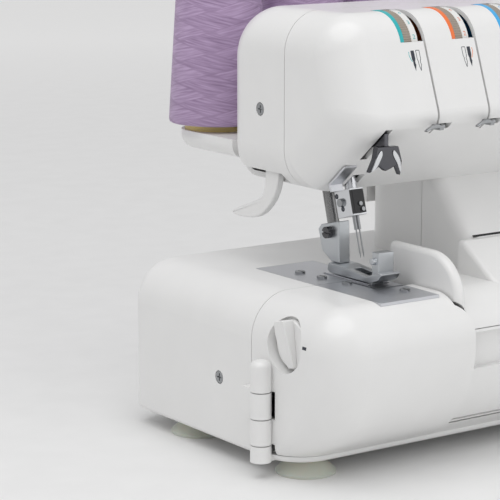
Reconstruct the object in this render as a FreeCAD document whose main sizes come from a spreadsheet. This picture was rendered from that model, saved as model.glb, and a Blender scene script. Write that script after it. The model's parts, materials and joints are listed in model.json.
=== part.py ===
import FreeCAD, Part
import math
import os
import re
import Sketcher
from FreeCAD import Rotation, Vector

# Household overlock machine, millimetres.
# Datum for every size: front left corner of the needle plate in plan, floor level in height.
# X runs to the right, Y to the back and Z up. The finished part is shifted so that its
# origin is the bottom centre of its box.

SIZES = {
    # Lower casing
    "bed_left": 44.0,
    "casing_right": 262.0,
    "bed_height": 100.0,
    "base_under": 9.3,
    "base_top": 13.0,
    "base_edge": 3.0,
    "belly_front": 16.0,
    "belly_strip": 3.0,
    "toe_back": 22.0,
    "bed_rear": 187.0,
    "round_big": 25.0,
    "round_rear": 14.0,
    "round_right": 8.0,
    "wall": 2.6,
    "shell_overrun": 1.0,
    "seam_gap": 0.5,
    "cover_seam": 58.7,
    "cover_right": 54.5,
    "cover_gap": 1.4,
    "cover_lift": 0.6,
    "side_seam": 236.0,
    # Head and column
    "head_setback": 40.0,
    "head_right": 250.0,
    "head_rear": 147.0,
    "head_top": 252.0,
    "head_floor": 150.0,
    "panel_top": 41.0,
    "ridge_front": 20.0,
    "ridge_height": 193.0,
    "slope_end": 72.0,
    "head_round": 24.0,
    "top_front_round": 22.0,
    "ridge_round": 9.0,
    "top_rear_round": 30.0,
    "low_rear_round": 14.0,
    "head_right_round": 10.0,
    "head_seam": 84.0,
    "column_left": 97.0,
    "column_foot": 40.0,
    "column_shoulder": 118.0,
    "column_round": 28.0,
    "column_edge": 9.0,
    "bar_clear": 0.9,
    # Cover hinge
    "hinge_out": 4.6,
    "hinge_setback": 15.3,
    "hinge_radius": 6.0,
    "hinge_foot": 9.3,
    "hinge_head": 66.7,
    "hinge_dome": 4.0,
    "knuckle_base": 19.0,
    "knuckle_low": 33.9,
    "knuckle_high": 49.0,
    "knuckle_gap": 0.6,
    "hinge_clear": 0.8,
    "hinge_pin_radius": 1.8,
    "run_clear": 0.05,
    # Needle plate and cloth plate
    "plate_width": 41.0,
    "plate_length": 117.0,
    "plate_thick": 2.0,
    "tongue_left": 22.5,
    "tongue_front": 32.0,
    "plate_gap": 1.8,
    "plate_screw_radius": 3.0,
    "plate_screw_height": 1.2,
    # Cutting width knob
    "knob_back": 28.6,
    "knob_height": 77.0,
    "knob_recess_radius": 15.3,
    "knob_recess_depth": 8.5,
    "knob_disc": 13.6,
    "knob_disc_thick": 3.4,
    "knob_grip_width": 8.0,
    "knob_grip_proud": 5.0,
    "knob_stem": 3.0,
    # Needle and presser bars
    "needle_x": 31.0,
    "needle_pitch": 2.4,
    "bar_tilt": 16.0,
    "needle_drop": 52.5,
    "needle_reach": 13.2,
    "bar_spacing": 21.8,
    "needle_bar_radius": 3.6,
    "presser_bar_radius": 3.5,
    "bar_top": 148.0,
    "lug_low": 14.0,
    "lug_high": 58.0,
    "lug_thick": 12.0,
    "bush_wall": 2.0,
    # Tension dials
    "dial_pitch": 37.0,
    "dial_left": 40.2,
    "dial_back": 57.7,
    "dial_axis": 230.4,
    "dial_radius": 22.0,
    "flange_width": 2.0,
    "grip_width": 6.5,
    "number_width": 5.0,
    "dial_clear": 0.3,
    "stud_radius": 4.0,
    "slot_width": 1.4,
    "slot_offset": 15.9,
    # Spool stand
    "cone_first": 27.0,
    "cone_pitch": 62.0,
    "cone_row": 195.0,
    "tray_top": 172.0,
    "tray_thick": 11.5,
    "tray_round": 23.0,
    "tray_edge": 8.0,
    "core_flange": 21.0,
    "core_flange_thick": 4.0,
    "core_foot_radius": 19.0,
    "core_top_radius": 11.0,
    "core_height": 122.0,
    "core_bore": 4.5,
    "thread_foot_radius": 30.7,
    "thread_top_radius": 24.0,
    "thread_height": 110.0,
    "spool_pin_radius": 3.5,
    "spool_pin_height": 105.0,
    "pole_back": 214.0,
    "pole_tube_radius": 5.0,
    "pole_rod_radius": 3.9,
    "pole_boss_radius": 9.0,
    "pole_tube_height": 140.0,
    "pole_top": 430.0,
    "pole_travel": 90.0,
    "guide_ring": 5.0,
    "guide_wire": 1.3,
    # Drive
    "shaft_back": 109.0,
    "shaft_height": 60.0,
    "shaft_radius": 5.0,
    "wheel_gap": 2.0,
    "wheel_width": 19.0,
    "wheel_radius": 36.0,
    "pulley_radius": 22.0,
    "pulley_width": 12.0,
    "motor_back": 148.0,
    "motor_height": 44.0,
    "motor_radius": 19.0,
    "motor_length": 46.0,
    "motor_pulley_radius": 7.0,
    "motor_shaft_radius": 2.5,
    "belt_thick": 1.6,
    "belt_width": 9.0,
    "belt_clear": 0.1,
    # Feet
    "foot_radius": 17.0,
    "foot_rim": 1.5,
    "foot_neck": 8.0,
    # Small controls on the right end
    "dial_small_radius": 14.0,
    "dial_small_thick": 8.0,
    "rocker_clear": 0.8,
    # Looper cover and deck
    "cover_step": 4.0,
    "ledge_step": 5.0,
    "ledge_low": 57.5,
    "ledge_high": 78.5,
    "ledge_right": 150.0,
    "deck_seam": 80.5,
    "skirt_top": 21.5,
    "flap_foot": 22.6,
    "flap_back": 8.0,
    "flap_height": 25.5,
    "flap_knuckle": 3.0,
    "flap_rod": 1.5,
    "ramp_left": 88.0,
    "ramp_front": 6.0,
    "ramp_crest": 36.0,
    "ramp_high": 119.0,
    # Knife guard beside the presser foot
    "guard_left": 48.0,
    "guard_width": 7.0,
    "guard_rear": 52.0,
    "guard_nose": 7.0,
    "guard_chin": 5.0,
    "guard_bend": 26.0,
    "guard_edge": 3.0,
    "corner_high": 94.5,
    "corner_low": 84.0,
    "corner_round": 13.0,
    # Stitching parts
    "clamp_foot": 37.4,
    "clamp_head": 53.0,
    "clamp_half": 5.0,
    "clamp_back": 10.0,
    "clamp_cap_right": 2.6,
    "clamp_screw_radius": 1.2,
    "bar_foot": 44.0,
    "needle_blade": 0.45,
    "needle_shank": 1.0,
    "needle_shoulder": 29.5,
    "presser_foot_end": 28.0,
    "presser_top": 140.0,
    "sole_left": 24.0,
    "sole_width": 14.0,
    "sole_under": 101.3,
    "sole_top": 107.0,
    "ankle_left": 27.0,
    "ankle_width": 8.0,
    "feed_top": 100.8,
    "pivot_radius": 2.5,
    "lever_back": 108.0,
    "lever_height": 176.0,
    "lever_left": 3.0,
    "lever_thick": 5.0,
    "take_up_back": 62.0,
    "take_up_height": 188.0,
    "looper_pin": 3.0,
    "upper_pin_x": 66.0,
    "upper_pin_z": 40.0,
    "lower_pin_x": 52.0,
    "lower_pin_z": 36.0,
    "looper_hub": 6.0,
    # Casing screws
    "screw_head_radius": 3.5,
    "screw_head_thick": 1.6,
    "screw_shank_radius": 1.7,
    "screw_shank_length": 7.0,
}

# Places worked out from the sizes above.
LAYOUT = {
    "left_face": "-bed_left",
    "hinge_back": "cover_seam - hinge_setback",
    "right_end": "casing_right + wheel_gap + wheel_width",
    "hinge_line": "-bed_left - hinge_out",
    "left_reach": "bed_left + max(hinge_out + hinge_radius; knob_grip_proud)",
    "rear_reach": "max(pole_back + pole_boss_radius; cone_row + thread_foot_radius)",
    "shift_x": "(left_reach - right_end) / 2",
    "shift_y": "(belly_front - rear_reach) / 2",
    "belly_top": "bed_height - round_big - belly_strip",
    "belly_rise": "belly_top - base_top",
    "head_left": "head_setback - bed_left",
    "floor_reach": "(head_floor - bed_height) / cos(bar_tilt)",
    "plate_under": "bed_height - plate_thick",
    "thread_foot": "tray_top + core_flange_thick",
    "dial_width": "flange_width + grip_width + number_width",
    "column_lean": "(slope_end - column_foot) / (head_floor - column_shoulder)",
    "wheel_left": "casing_right + wheel_gap",
}

BELLY_STEPS = 5

DOC = FreeCAD.newDocument("overlock_machine")
SHEET = DOC.addObject("Spreadsheet::Sheet", "Sizes")
PLACES = DOC.addObject("Spreadsheet::Sheet", "Layout")
NODES = []


def ref(text):
    """Turn size names in an expression into references to the two sheets."""
    def swap(match):
        word = match.group(0)
        if word in SIZES:
            return "Sizes." + word
        if word in LAYOUT:
            return "Layout." + word
        return word
    return re.sub(r"[a-z][a-z_]*", swap, str(text))


def fill_sheets():
    """Write the driving sizes as plain numbers and the places as formulas."""
    for row, (alias, value) in enumerate(SIZES.items(), 1):
        SHEET.set("A%d" % row, alias)
        SHEET.set("B%d" % row, str(value))
        SHEET.setAlias("B%d" % row, alias)
    DOC.recompute()
    for row, (alias, formula) in enumerate(LAYOUT.items(), 1):
        PLACES.set("A%d" % row, alias)
        PLACES.set("B%d" % row, "=" + ref(formula))
        PLACES.setAlias("B%d" % row, alias)
        DOC.recompute()


def number(text):
    """Value of an expression of size names."""
    value = SHEET.evalExpression(ref(text))
    return float(getattr(value, "Value", value))


def bind(obj, prop, text):
    obj.setExpression(prop, ref(text))


def place(obj, base, rotation=None):
    """Bind an object's place to three expressions."""
    if rotation:
        obj.Placement = FreeCAD.Placement(Vector(), rotation)
    for axis, text in zip("xyz", base):
        bind(obj, "Placement.Base." + axis, text)
    return obj


ALONG = {
    "X": Rotation(Vector(0, 1, 0), 90),
    "Y": Rotation(Vector(1, 0, 0), -90),
    "Z": Rotation(),
}


def box(name, low, high):
    """Box between two corners."""
    obj = DOC.addObject("Part::Box", name)
    for prop, start, end in zip(("Length", "Width", "Height"), low, high):
        bind(obj, prop, "(%s) - (%s)" % (end, start))
    return place(obj, low)


def rod(name, axis, start, radius, length):
    """Cylinder along an axis."""
    obj = DOC.addObject("Part::Cylinder", name)
    bind(obj, "Radius", radius)
    bind(obj, "Height", length)
    return place(obj, start, ALONG[axis])


def cone(name, axis, start, low_radius, high_radius, length):
    obj = DOC.addObject("Part::Cone", name)
    bind(obj, "Radius1", low_radius)
    bind(obj, "Radius2", high_radius)
    bind(obj, "Height", length)
    return place(obj, start, ALONG[axis])


def torus(name, axis, centre, ring, wire):
    obj = DOC.addObject("Part::Torus", name)
    bind(obj, "Radius1", ring)
    bind(obj, "Radius2", wire)
    return place(obj, centre, ALONG[axis])


def fuse(name, *objs):
    obj = DOC.addObject("Part::MultiFuse", name)
    obj.Shapes = list(objs)
    return obj


def cut(name, base, *tools):
    obj = DOC.addObject("Part::Cut", name)
    obj.Base = base
    obj.Tool = tools[0] if len(tools) == 1 else fuse(name + "_tools", *tools)
    return obj


def common(name, first, second):
    obj = DOC.addObject("Part::Common", name)
    obj.Base = first
    obj.Tool = second
    return obj


def origin_plane(body, role):
    return next(f for f in body.Origin.OriginFeatures if f.Role == role)


def arc_between(start, end, radius):
    """Arc of the given radius from start to end, bulging to the left of that direction."""
    chord = end.sub(start)
    middle = start.add(end).multiply(0.5)
    side = Vector(-chord.y, chord.x, 0).normalize()
    half = chord.Length / 2
    sagitta = radius - (radius ** 2 - half ** 2) ** 0.5
    return Part.Arc(start, middle.add(side.multiply(sagitta)), end)


def draw_outline(sketch, points):
    """Closed outline whose corners are bound to expressions. A third entry makes an arc."""
    spots = [Vector(number(p[0]), number(p[1]), 0) for p in points]
    for index, point in enumerate(points):
        start = spots[index]
        end = spots[(index + 1) % len(spots)]
        if len(point) > 2:
            sketch.addGeometry(arc_between(start, end, number(point[2])), False)
        else:
            sketch.addGeometry(Part.LineSegment(start, end), False)
    for index, point in enumerate(points):
        near = 1 if sketch.getPoint(index, 1).isEqual(spots[index], 1e-6) else 2
        before = (index - 1) % len(points)
        far = 2 if sketch.getPoint(before, 2).isEqual(spots[index], 1e-6) else 1
        sketch.addConstraint(Sketcher.Constraint("Coincident", before, far, index, near))
        for kind, text in (("DistanceX", point[0]), ("DistanceY", point[1])):
            value = number(text)
            mark = sketch.addConstraint(Sketcher.Constraint(kind, -1, 1, index, near, value))
            bind(sketch, "Constraints[%d]" % mark, text)
        if len(point) > 2:
            mark = sketch.addConstraint(Sketcher.Constraint("Radius", index, number(point[2])))
            bind(sketch, "Constraints[%d]" % mark, point[2])


def prism(name, plane, start, length, points):
    """Outline on a plane, padded along X, Z or, for the XZ plane, from its far side forwards."""
    body = DOC.addObject("PartDesign::Body", name)
    sketch = body.newObject("Sketcher::SketchObject", name + "_sketch")
    sketch.AttachmentSupport = [(origin_plane(body, plane + "_Plane"), "")]
    sketch.MapMode = "FlatFace"
    bind(sketch, "AttachmentOffset.Base.z", start)
    draw_outline(sketch, points)
    pad = body.newObject("PartDesign::Pad", name + "_pad")
    pad.Profile = sketch
    bind(pad, "Length", length)
    DOC.recompute()
    return body


def turned(name, points):
    """Outline in the XZ plane turned about Z. Points are radius and height."""
    body = DOC.addObject("PartDesign::Body", name)
    sketch = body.newObject("Sketcher::SketchObject", name + "_sketch")
    sketch.AttachmentSupport = [(origin_plane(body, "XZ_Plane"), "")]
    sketch.MapMode = "FlatFace"
    draw_outline(sketch, points)
    spin = body.newObject("PartDesign::Revolution", name + "_turn")
    spin.Profile = sketch
    spin.ReferenceAxis = (sketch, ["V_Axis"])
    spin.Angle = 360
    DOC.recompute()
    return body


def near(first, second):
    return abs(first - second) < 0.01


def edges_where(shape, test):
    """Numbers of the edges that pass a test at three points between their ends."""
    found = []
    for index, edge in enumerate(shape.Edges, 1):
        span = edge.LastParameter - edge.FirstParameter
        spots = [edge.valueAt(edge.FirstParameter + span * k / 4) for k in (1, 2, 3)]
        if all(test(p) for p in spots):
            found.append(index)
    return found


def rounded(name, base, *rounds):
    """Round groups of edges, each given by a test and a radius."""
    DOC.recompute()
    obj = DOC.addObject("Part::Fillet", name)
    obj.Base = base
    marks = []
    for test, radius in rounds:
        size = number(radius)
        marks += [(index, size, size) for index in edges_where(base.Shape, test)]
    obj.Edges = marks
    DOC.recompute()
    return obj


def node(label, *objs):
    """Finished sub-part of one or more solids, moved to the part's own origin."""
    part = DOC.addObject("Part::Compound", label)
    part.Links = list(objs)
    part.Label = label
    place(part, ("shift_x", "shift_y", "0"))
    NODES.append(part)
    return part


def tilted(name, *objs):
    """Group of pieces built upright where the needles meet the plate, leaned back with the bars."""
    part = DOC.addObject("Part::Compound", name)
    part.Links = list(objs)
    part.Placement = FreeCAD.Placement(Vector(), Rotation(Vector(-1, 0, 0), SIZES["bar_tilt"]))
    bind(part, "Placement.Rotation.Angle", "bar_tilt")
    return place(part, ("needle_x", "needle_drop", "bed_height"))


def plan_wire(height, low, high, rounds):
    """Plan outline with a radius at each corner, from the front left one anticlockwise."""
    centres = [
        (low[0] + rounds[0], low[1] + rounds[0]),
        (high[0] - rounds[1], low[1] + rounds[1]),
        (high[0] - rounds[2], high[1] - rounds[2]),
        (low[0] + rounds[3], high[1] - rounds[3]),
    ]
    arcs = []
    for turn, ((x, y), radius) in enumerate(zip(centres, rounds)):
        angles = [math.radians(180 + 90 * turn + part) for part in (0, 45, 90)]
        spots = [Vector(x + radius * math.cos(a), y + radius * math.sin(a), height) for a in angles]
        arcs.append(Part.Arc(*spots).toShape())
    edges = []
    for first, second in zip(arcs, arcs[1:] + arcs[:1]):
        start = first.valueAt(first.LastParameter)
        end = second.valueAt(second.FirstParameter)
        edges += [first, Part.LineSegment(start, end).toShape()]
    return Part.Wire(edges)


def bed_form(name, inset, recess="0"):
    """Rounded bed block with a belly below it. A shrunk one runs on below the base seam."""
    low = ("left_face + (%s)" % inset, "-belly_front + (%s) + (%s)" % (recess, inset), "belly_top")
    high = ("casing_right - (%s)" % inset, "bed_rear - (%s)" % inset, "bed_height - (%s)" % inset)
    block = box(name + "_block", low, high)
    low_spot = [number(text) for text in low]
    high_spot = [number(text) for text in high]

    def right_edge(p):
        return p.z > low_spot[2] + 0.1 and near(p.x, high_spot[0])

    def rear_edge(p):
        return p.z > low_spot[2] + 0.1 and near(p.y, high_spot[1]) and not right_edge(p)

    def front_edge(p):
        return p.z > low_spot[2] + 0.1 and not right_edge(p) and not rear_edge(p)

    big = "round_big - (%s)" % inset
    rear = "round_rear - (%s)" % inset
    right = "round_right - (%s)" % inset
    top = rounded(name + "_top", block, (front_edge, big), (rear_edge, rear), (right_edge, right))
    rounds = [number(text) for text in (big, right, right, rear)]
    shrink = number(inset)
    depth = number("toe_back + belly_front - (%s)" % recess)
    full_radius = (number("belly_rise") ** 2 + depth ** 2) / (2 * depth)
    radius = full_radius - shrink
    centre = number("toe_back") - depth + full_radius
    floor = number("base_top") - (number("shell_overrun") if shrink else 0)
    wires = []
    for step in range(BELLY_STEPS + 1):
        height = low_spot[2] + (floor - low_spot[2]) * step / BELLY_STEPS
        front = centre - math.sqrt(radius ** 2 - (low_spot[2] - height) ** 2)
        wires.append(plan_wire(height, (low_spot[0], front), high_spot, rounds))
    belly = DOC.addObject("Part::Feature", name + "_belly")
    belly.Shape = Part.makeLoft(wires, True, False)
    return fuse(name, top, belly)


def column_form(name, inset, overrun):
    """Column block between the bed and the head."""
    low = "bed_height - (%s)" % overrun
    high = "head_floor + (%s)" % overrun
    front = "column_foot + (%s)" % inset
    rear = "head_rear - (%s)" % inset
    slant = "(%s) * sqrt(1 + column_lean ^ 2)" % inset
    points = [
        (front, low),
        (front, "column_shoulder - (%s - (%s)) / column_lean" % (slant, inset)),
        ("slope_end + (%s) * column_lean + %s" % (overrun, slant), high),
        (rear, high),
        (rear, low),
    ]
    start = "column_left + (%s)" % inset
    length = "head_right - column_left - 2 * (%s)" % inset
    block = prism(name + "_block", "YZ", start, length, points[::-1])
    left = number(start)
    right = number("head_right - (%s)" % inset)
    back = number(rear)
    ends = [number(low), number(high)]

    def side_edge(p):
        return not near(p.z, ends[0]) and not near(p.z, ends[1])

    def rear_left(p):
        return near(p.x, left) and near(p.y, back)

    return rounded(
        name, block,
        (lambda p: side_edge(p) and rear_left(p), "column_round - (%s)" % inset),
        (lambda p: near(p.x, left) and side_edge(p) and not rear_left(p), "column_edge - (%s)" % inset),
        (lambda p: near(p.x, right) and side_edge(p), "head_right_round - (%s)" % inset),
    )


def head_form(name, inset):
    """Head and arm block with a leaning front panel."""
    points = [
        ("slope_end + 0.36 * (%s)" % inset, "head_floor + (%s)" % inset),
        ("head_rear - (%s)" % inset, "head_floor + (%s)" % inset),
        ("head_rear - (%s)" % inset, "head_top - (%s)" % inset),
        ("panel_top + 0.71 * (%s)" % inset, "head_top - (%s)" % inset),
        ("ridge_front + 1.18 * (%s)" % inset, "ridge_height + 0.32 * (%s)" % inset),
    ]
    start = "head_left + (%s)" % inset
    length = "head_right - head_left - 2 * (%s)" % inset
    block = prism(name + "_block", "YZ", start, length, points)
    left = number(start)
    right = number("head_right - (%s)" % inset)
    corners = [(number(y), number(z)) for y, z in points]

    def at(corner):
        return lambda p: near(p.y, corner[0]) and near(p.z, corner[1])

    return rounded(
        name, block,
        (lambda p: near(p.x, left), "head_round - (%s)" % inset),
        (lambda p: near(p.x, right), "head_right_round - (%s)" % inset),
        (at(corners[1]), "low_rear_round - (%s)" % inset),
        (at(corners[2]), "top_rear_round - (%s)" % inset),
        (at(corners[3]), "top_front_round - (%s)" % inset),
        (at(corners[4]), "ridge_round - (%s)" % inset),
    )


fill_sheets()
bed_outer = bed_form("bed_outer", "0")
bed_inner = bed_form("bed_inner", "wall")
bed_shell = cut("bed_shell", bed_outer, bed_inner)
column_outer = column_form("column_outer", "0", "0")
column_inner = column_form("column_inner", "wall", "wall + shell_overrun")
column_shell = cut("column_shell", column_outer, column_inner)
head_outer = head_form("head_outer", "0")
head_inner = head_form("head_inner", "wall")
head_shell = cut("head_shell", head_outer, head_inner)
DOC.recompute()

# Lower casing
recess_outer = bed_form("recess_outer", "0", "cover_step")
recess_inner = bed_form("recess_inner", "wall", "cover_step")
recess_shell = cut("recess_shell", recess_outer, recess_inner)
deep_outer = bed_form("deep_outer", "0", "cover_step + ledge_step")
deep_inner = bed_form("deep_inner", "wall", "cover_step + ledge_step")


def hinge_rod(name, low, high, radius):
    """Upright cylinder on the hinge line of the front cover."""
    return rod(name, "Z", ("hinge_line", "hinge_back", low), radius, "(%s) - (%s)" % (high, low))


def flap_rod(name, low, high, radius):
    """Level cylinder on the hinge line of the looper cover."""
    return rod(name, "X", (low, "flap_back", "flap_height"), radius, "(%s) - (%s)" % (high, low))


def hinge_bore(name):
    return hinge_rod(name, "hinge_foot - 1", "hinge_head - 1.3", "hinge_pin_radius + run_clear")


def flap_bore(name):
    return flap_rod(name, "cover_right", "side_seam", "flap_rod + run_clear")


base_block = box(
    "base_block", ("left_face", "toe_back", "base_under"), ("casing_right", "bed_rear", "base_top"),
)


def upright_at(x, y):
    spot = (number(x), number(y))
    return lambda p: near(p.x, spot[0]) and near(p.y, spot[1])


base_tile = rounded(
    "base_tile", base_block,
    (upright_at("left_face", "toe_back"), "round_big"),
    (upright_at("left_face", "bed_rear"), "round_rear"),
    (upright_at("casing_right", "toe_back"), "round_right"),
    (upright_at("casing_right", "bed_rear"), "round_right"),
)
base_sheet = rounded("base_sheet", base_tile, (lambda p: near(p.z, number("base_under")), "base_edge"))
flap_left = "cover_right + cover_gap"
skirt = common(
    "skirt", recess_shell,
    box("skirt_zone", (flap_left, "-belly_front - 20", "base_top"),
        ("side_seam", "cover_seam", "skirt_top")),
)
FLAP_KNUCKLES = {"left": ("112", "135"), "right": ("190", "215")}
FIXED_KNUCKLES = {"left": ("135.5", "150"), "right": ("175", "189.5")}
fixed_barrels = []
for side, (low, high) in FIXED_KNUCKLES.items():
    barrel = flap_rod("fixed_barrel_" + side, low, high, "flap_knuckle")
    web_low = (low, "flap_back", "skirt_top - 4")
    web = box("fixed_web_" + side, web_low, (high, "flap_back + 4.5", "flap_height"))
    fixed_barrels += [barrel, web]
base_knuckle = hinge_rod("base_knuckle", "hinge_foot", "knuckle_base - knuckle_gap / 2", "hinge_radius")
base_web = box(
    "base_web", ("hinge_line", "hinge_back - hinge_radius / 2", "base_under"),
    ("left_face + wall", "hinge_back + hinge_radius / 2", "base_top"),
)
base_solid = fuse("base_solid", base_sheet, skirt, base_knuckle, base_web, *fixed_barrels)
node("base_plate", cut("base_cut", base_solid, hinge_bore("base_bore"), flap_bore("base_flap_bore")))

FOOT_PLACES = {"a": ("-21", "39"), "b": ("-24", "141"), "c": ("239", "39"), "d": ("245", "141")}
feet = []
for mark, (x, y) in FOOT_PLACES.items():
    rim = rod("foot_rim_" + mark, "Z", (x, y, "0"), "foot_radius", "foot_rim")
    cup_height = "base_under - foot_rim"
    cup = cone("foot_cup_" + mark, "Z", (x, y, "foot_rim"), "foot_radius", "foot_neck", cup_height)
    feet.append(fuse("foot_" + mark, rim, cup))
node("suction_feet", *feet)


def side_screw(name, y, z, face, head_seat):
    """Screw whose head looks left, seated below a left face."""
    head_start = "%s + %s" % (face, head_seat)
    head = rod(name + "_head", "X", (head_start, y, z), "screw_head_radius", "screw_head_thick")
    shank = rod(name + "_shank", "X", (head_start, y, z), "screw_shank_radius", "screw_shank_length")
    slots = []
    for turn, (half_y, half_z) in {"a": ("0.4", "2.2"), "b": ("2.2", "0.4")}.items():
        low = ("%s - 1" % head_start, "%s - %s" % (y, half_y), "%s - %s" % (z, half_z))
        high = ("%s + 0.8" % head_start, "%s + %s" % (y, half_y), "%s + %s" % (z, half_z))
        slots.append(box(name + "_slot_" + turn, low, high))
    return cut(name, fuse(name + "_body", head, shank), *slots)


def side_screw_room(name, y, z, face):
    """Seat and hole for a screw in a left face."""
    outside = ("%s - 5" % face, y, z)
    seat = rod(name + "_seat", "X", outside, "screw_head_radius + 0.4", "screw_head_thick + 5.2")
    hole = rod(name + "_hole", "X", outside, "screw_shank_radius + 0.1", "20")
    return seat, hole


BED_SCREW = ("91", "46.5")
HEAD_SCREW = ("107.6", "194.9")
casing_zone = box(
    "casing_zone", ("left_face - 5", "cover_seam + seam_gap", "base_top"),
    ("side_seam", "bed_rear + 5", "bed_height + 5"),
)
casing_skin = common("casing_skin", bed_shell, casing_zone)
casing_knuckle = hinge_rod(
    "casing_knuckle", "knuckle_low + knuckle_gap / 2", "knuckle_high - knuckle_gap / 2", "hinge_radius",
)
casing_tab = box(
    "casing_tab", ("hinge_line", "hinge_back", "knuckle_low + knuckle_gap / 2"),
    ("left_face + wall", "cover_seam + seam_gap + 2", "knuckle_high - knuckle_gap / 2"),
)
plate_window = box(
    "plate_window", ("-0.3", "cover_seam", "plate_under - 8"),
    ("plate_width + 0.3", "plate_length + 0.3", "bed_height + 1"),
)
node("bed_casing", cut(
    "casing_cut", fuse("casing_solid", casing_skin, casing_knuckle, casing_tab),
    hinge_bore("casing_bore"), plate_window, column_inner,
    *side_screw_room("bed_screw_room", BED_SCREW[0], BED_SCREW[1], "left_face"),
))

STITCH_DIAL = ("52", "78")
FEED_DIAL = ("18", "78")
ROCKER = (("149", "60"), ("161", "80"))
INLET = (("147", "28"), ("161", "46"))


def wall_box(name, low, high, spread):
    """Opening right through the right wall."""
    start = ("casing_right - 12", "%s - %s" % (low[0], spread), "%s - %s" % (low[1], spread))
    end = ("casing_right + 5", "%s + %s" % (high[0], spread), "%s + %s" % (high[1], spread))
    return box(name, start, end)


def wall_hole(name, spot, radius):
    return rod(name, "X", ("casing_right - 12", spot[0], spot[1]), radius, "20")


panel_zone = box(
    "panel_zone", ("side_seam + seam_gap", "-belly_front - 10", "base_top"),
    ("casing_right + 5", "bed_rear + 5", "bed_height + 5"),
)
node("side_panel", cut(
    "panel_cut", common("panel_skin", bed_shell, panel_zone), column_inner,
    wall_hole("shaft_hole", ("shaft_back", "shaft_height"), "shaft_radius + 0.9"),
    wall_hole("stitch_hole", STITCH_DIAL, "knob_stem + run_clear"),
    wall_hole("feed_hole", FEED_DIAL, "knob_stem + run_clear"),
    wall_box("rocker_hole", ROCKER[0], ROCKER[1], "0"),
    wall_box("inlet_hole", INLET[0], INLET[1], "0"),
))

deck_zone = box(
    "deck_zone", (flap_left, "-belly_front - 10", "deck_seam"), ("side_seam", "cover_seam", "bed_height + 5"),
)
ramp_block = prism("ramp_block", "YZ", "ramp_left", "side_seam - ramp_left", [
    ("ramp_front", "bed_height - 1"),
    ("column_foot - 0.4", "bed_height - 1"),
    ("column_foot - 0.4", "ramp_high"),
    ("ramp_crest", "ramp_high"),
])
ramp = rounded(
    "ramp", ramp_block,
    (lambda p: near(p.x, number("ramp_left")) and p.z > number("bed_height") - 0.9
     and p.y < number("column_foot") - 0.5, "3"),
)
deck_skin = common("deck_skin", recess_shell, deck_zone)


def corner_block(name, spread, points):
    """Upright block over the front part of the bed, with an outline seen from the front."""
    outline = [(point[0] % spread, point[1] % spread) + point[2:] for point in points]
    return prism(name, "XZ", "-cover_seam", "cover_seam + belly_front + 20", outline)


# Space above the rounded top right corner of the front cover
CORNER_ROOM = [
    ("guard_left - cover_gap + %s", "bed_height + 5 + 0 * %s"),
    ("guard_left - cover_gap + %s", "corner_high + %s", "corner_round"),
    ("cover_right + %s", "corner_low + %s"),
    ("cover_right + 3 + %s", "corner_low + %s"),
    ("cover_right + 3 + %s", "bed_height + 5 + 0 * %s"),
]
# Space below that corner line
CORNER_UNDER = [
    ("guard_left - 20 + 0 * %s", "corner_low - 20 + 0 * %s"),
    ("guard_left - 20 + 0 * %s", "corner_high + %s"),
    ("guard_left - cover_gap + %s", "corner_high + %s", "corner_round"),
    ("cover_right + %s", "corner_low + %s"),
    ("cover_right + %s", "corner_low - 20 + 0 * %s"),
]
deck_corner = common("deck_corner", recess_shell, corner_block("deck_room", "cover_gap", CORNER_ROOM))
node("looper_deck", cut("deck_cut", fuse("deck_solid", deck_skin, deck_corner, ramp), column_inner))

flap_zone = box(
    "flap_zone", (flap_left, "-belly_front - 10", "flap_foot"),
    ("side_seam", "cover_seam - 20", "deck_seam - seam_gap"),
)
flap_skin = common("flap_skin", cut("flap_thick", recess_outer, deep_inner), flap_zone)
ledge_zone = box(
    "ledge_zone", ("cover_right", "-belly_front - 10", "ledge_low"),
    ("ledge_right", "cover_seam", "ledge_high"),
)
ledge = common("ledge", cut("ledge_front", ledge_zone, deep_outer), ledge_zone)
flap_barrels = [
    flap_rod("flap_barrel_" + side, low, high, "flap_knuckle")
    for side, (low, high) in FLAP_KNUCKLES.items()
]
flap_notches = []
for side, (low, high) in FIXED_KNUCKLES.items():
    notch_low = ("%s - 0.5" % low, "flap_back - 12", "flap_foot - 3")
    notch_high = ("%s + 0.5" % high, "flap_back + 14", "flap_height + flap_knuckle + 1")
    flap_notches.append(box("flap_notch_" + side, notch_low, notch_high))
flap_solid = fuse("flap_solid", cut("flap_body", flap_skin, ledge, *flap_notches), *flap_barrels)
node("looper_cover", cut("flap_cut", flap_solid, flap_bore("flap_pin_bore")))

front_pin = hinge_rod("front_pin", "hinge_foot + 1.5", "hinge_head - 1.8", "hinge_pin_radius")
flap_pin = flap_rod("flap_pin", "108", "219", "flap_rod")
node("hinge_pins", front_pin, flap_pin)

# Front cover with its plate and knob
door_zone = box(
    "door_zone", ("left_face - 5", "-belly_front - 10", "base_top + cover_lift"),
    ("cover_right", "cover_seam", "bed_height + 5"),
)
cup_rod = rod(
    "cup_rod", "X", ("left_face", "knob_back", "knob_height"), "knob_recess_radius + wall",
    "knob_recess_depth + wall",
)
cup = common("cup", cup_rod, bed_outer)
door_skin = common("door_skin", fuse("door_walls", bed_shell, cup), door_zone)
knob_outside = ("left_face - 5", "knob_back", "knob_height")
knob_recess = rod("knob_recess", "X", knob_outside, "knob_recess_radius", "knob_recess_depth + 5")
stem_hole = rod("stem_hole", "X", knob_outside, "knob_stem + run_clear", "40")
notch_front = "hinge_back - hinge_radius - hinge_clear"
notch_left = "hinge_line - hinge_radius - hinge_clear"
notch_right = "left_face + wall + hinge_clear"
door_notches = [
    box("notch_mid", (notch_left, notch_front, "knuckle_low - knuckle_gap / 2"),
        (notch_right, "cover_seam + 1", "knuckle_high + knuckle_gap / 2")),
    box("notch_low", (notch_left, notch_front, "base_top"),
        (notch_right, "cover_seam + 1", "knuckle_base + knuckle_gap / 2")),
]
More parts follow.
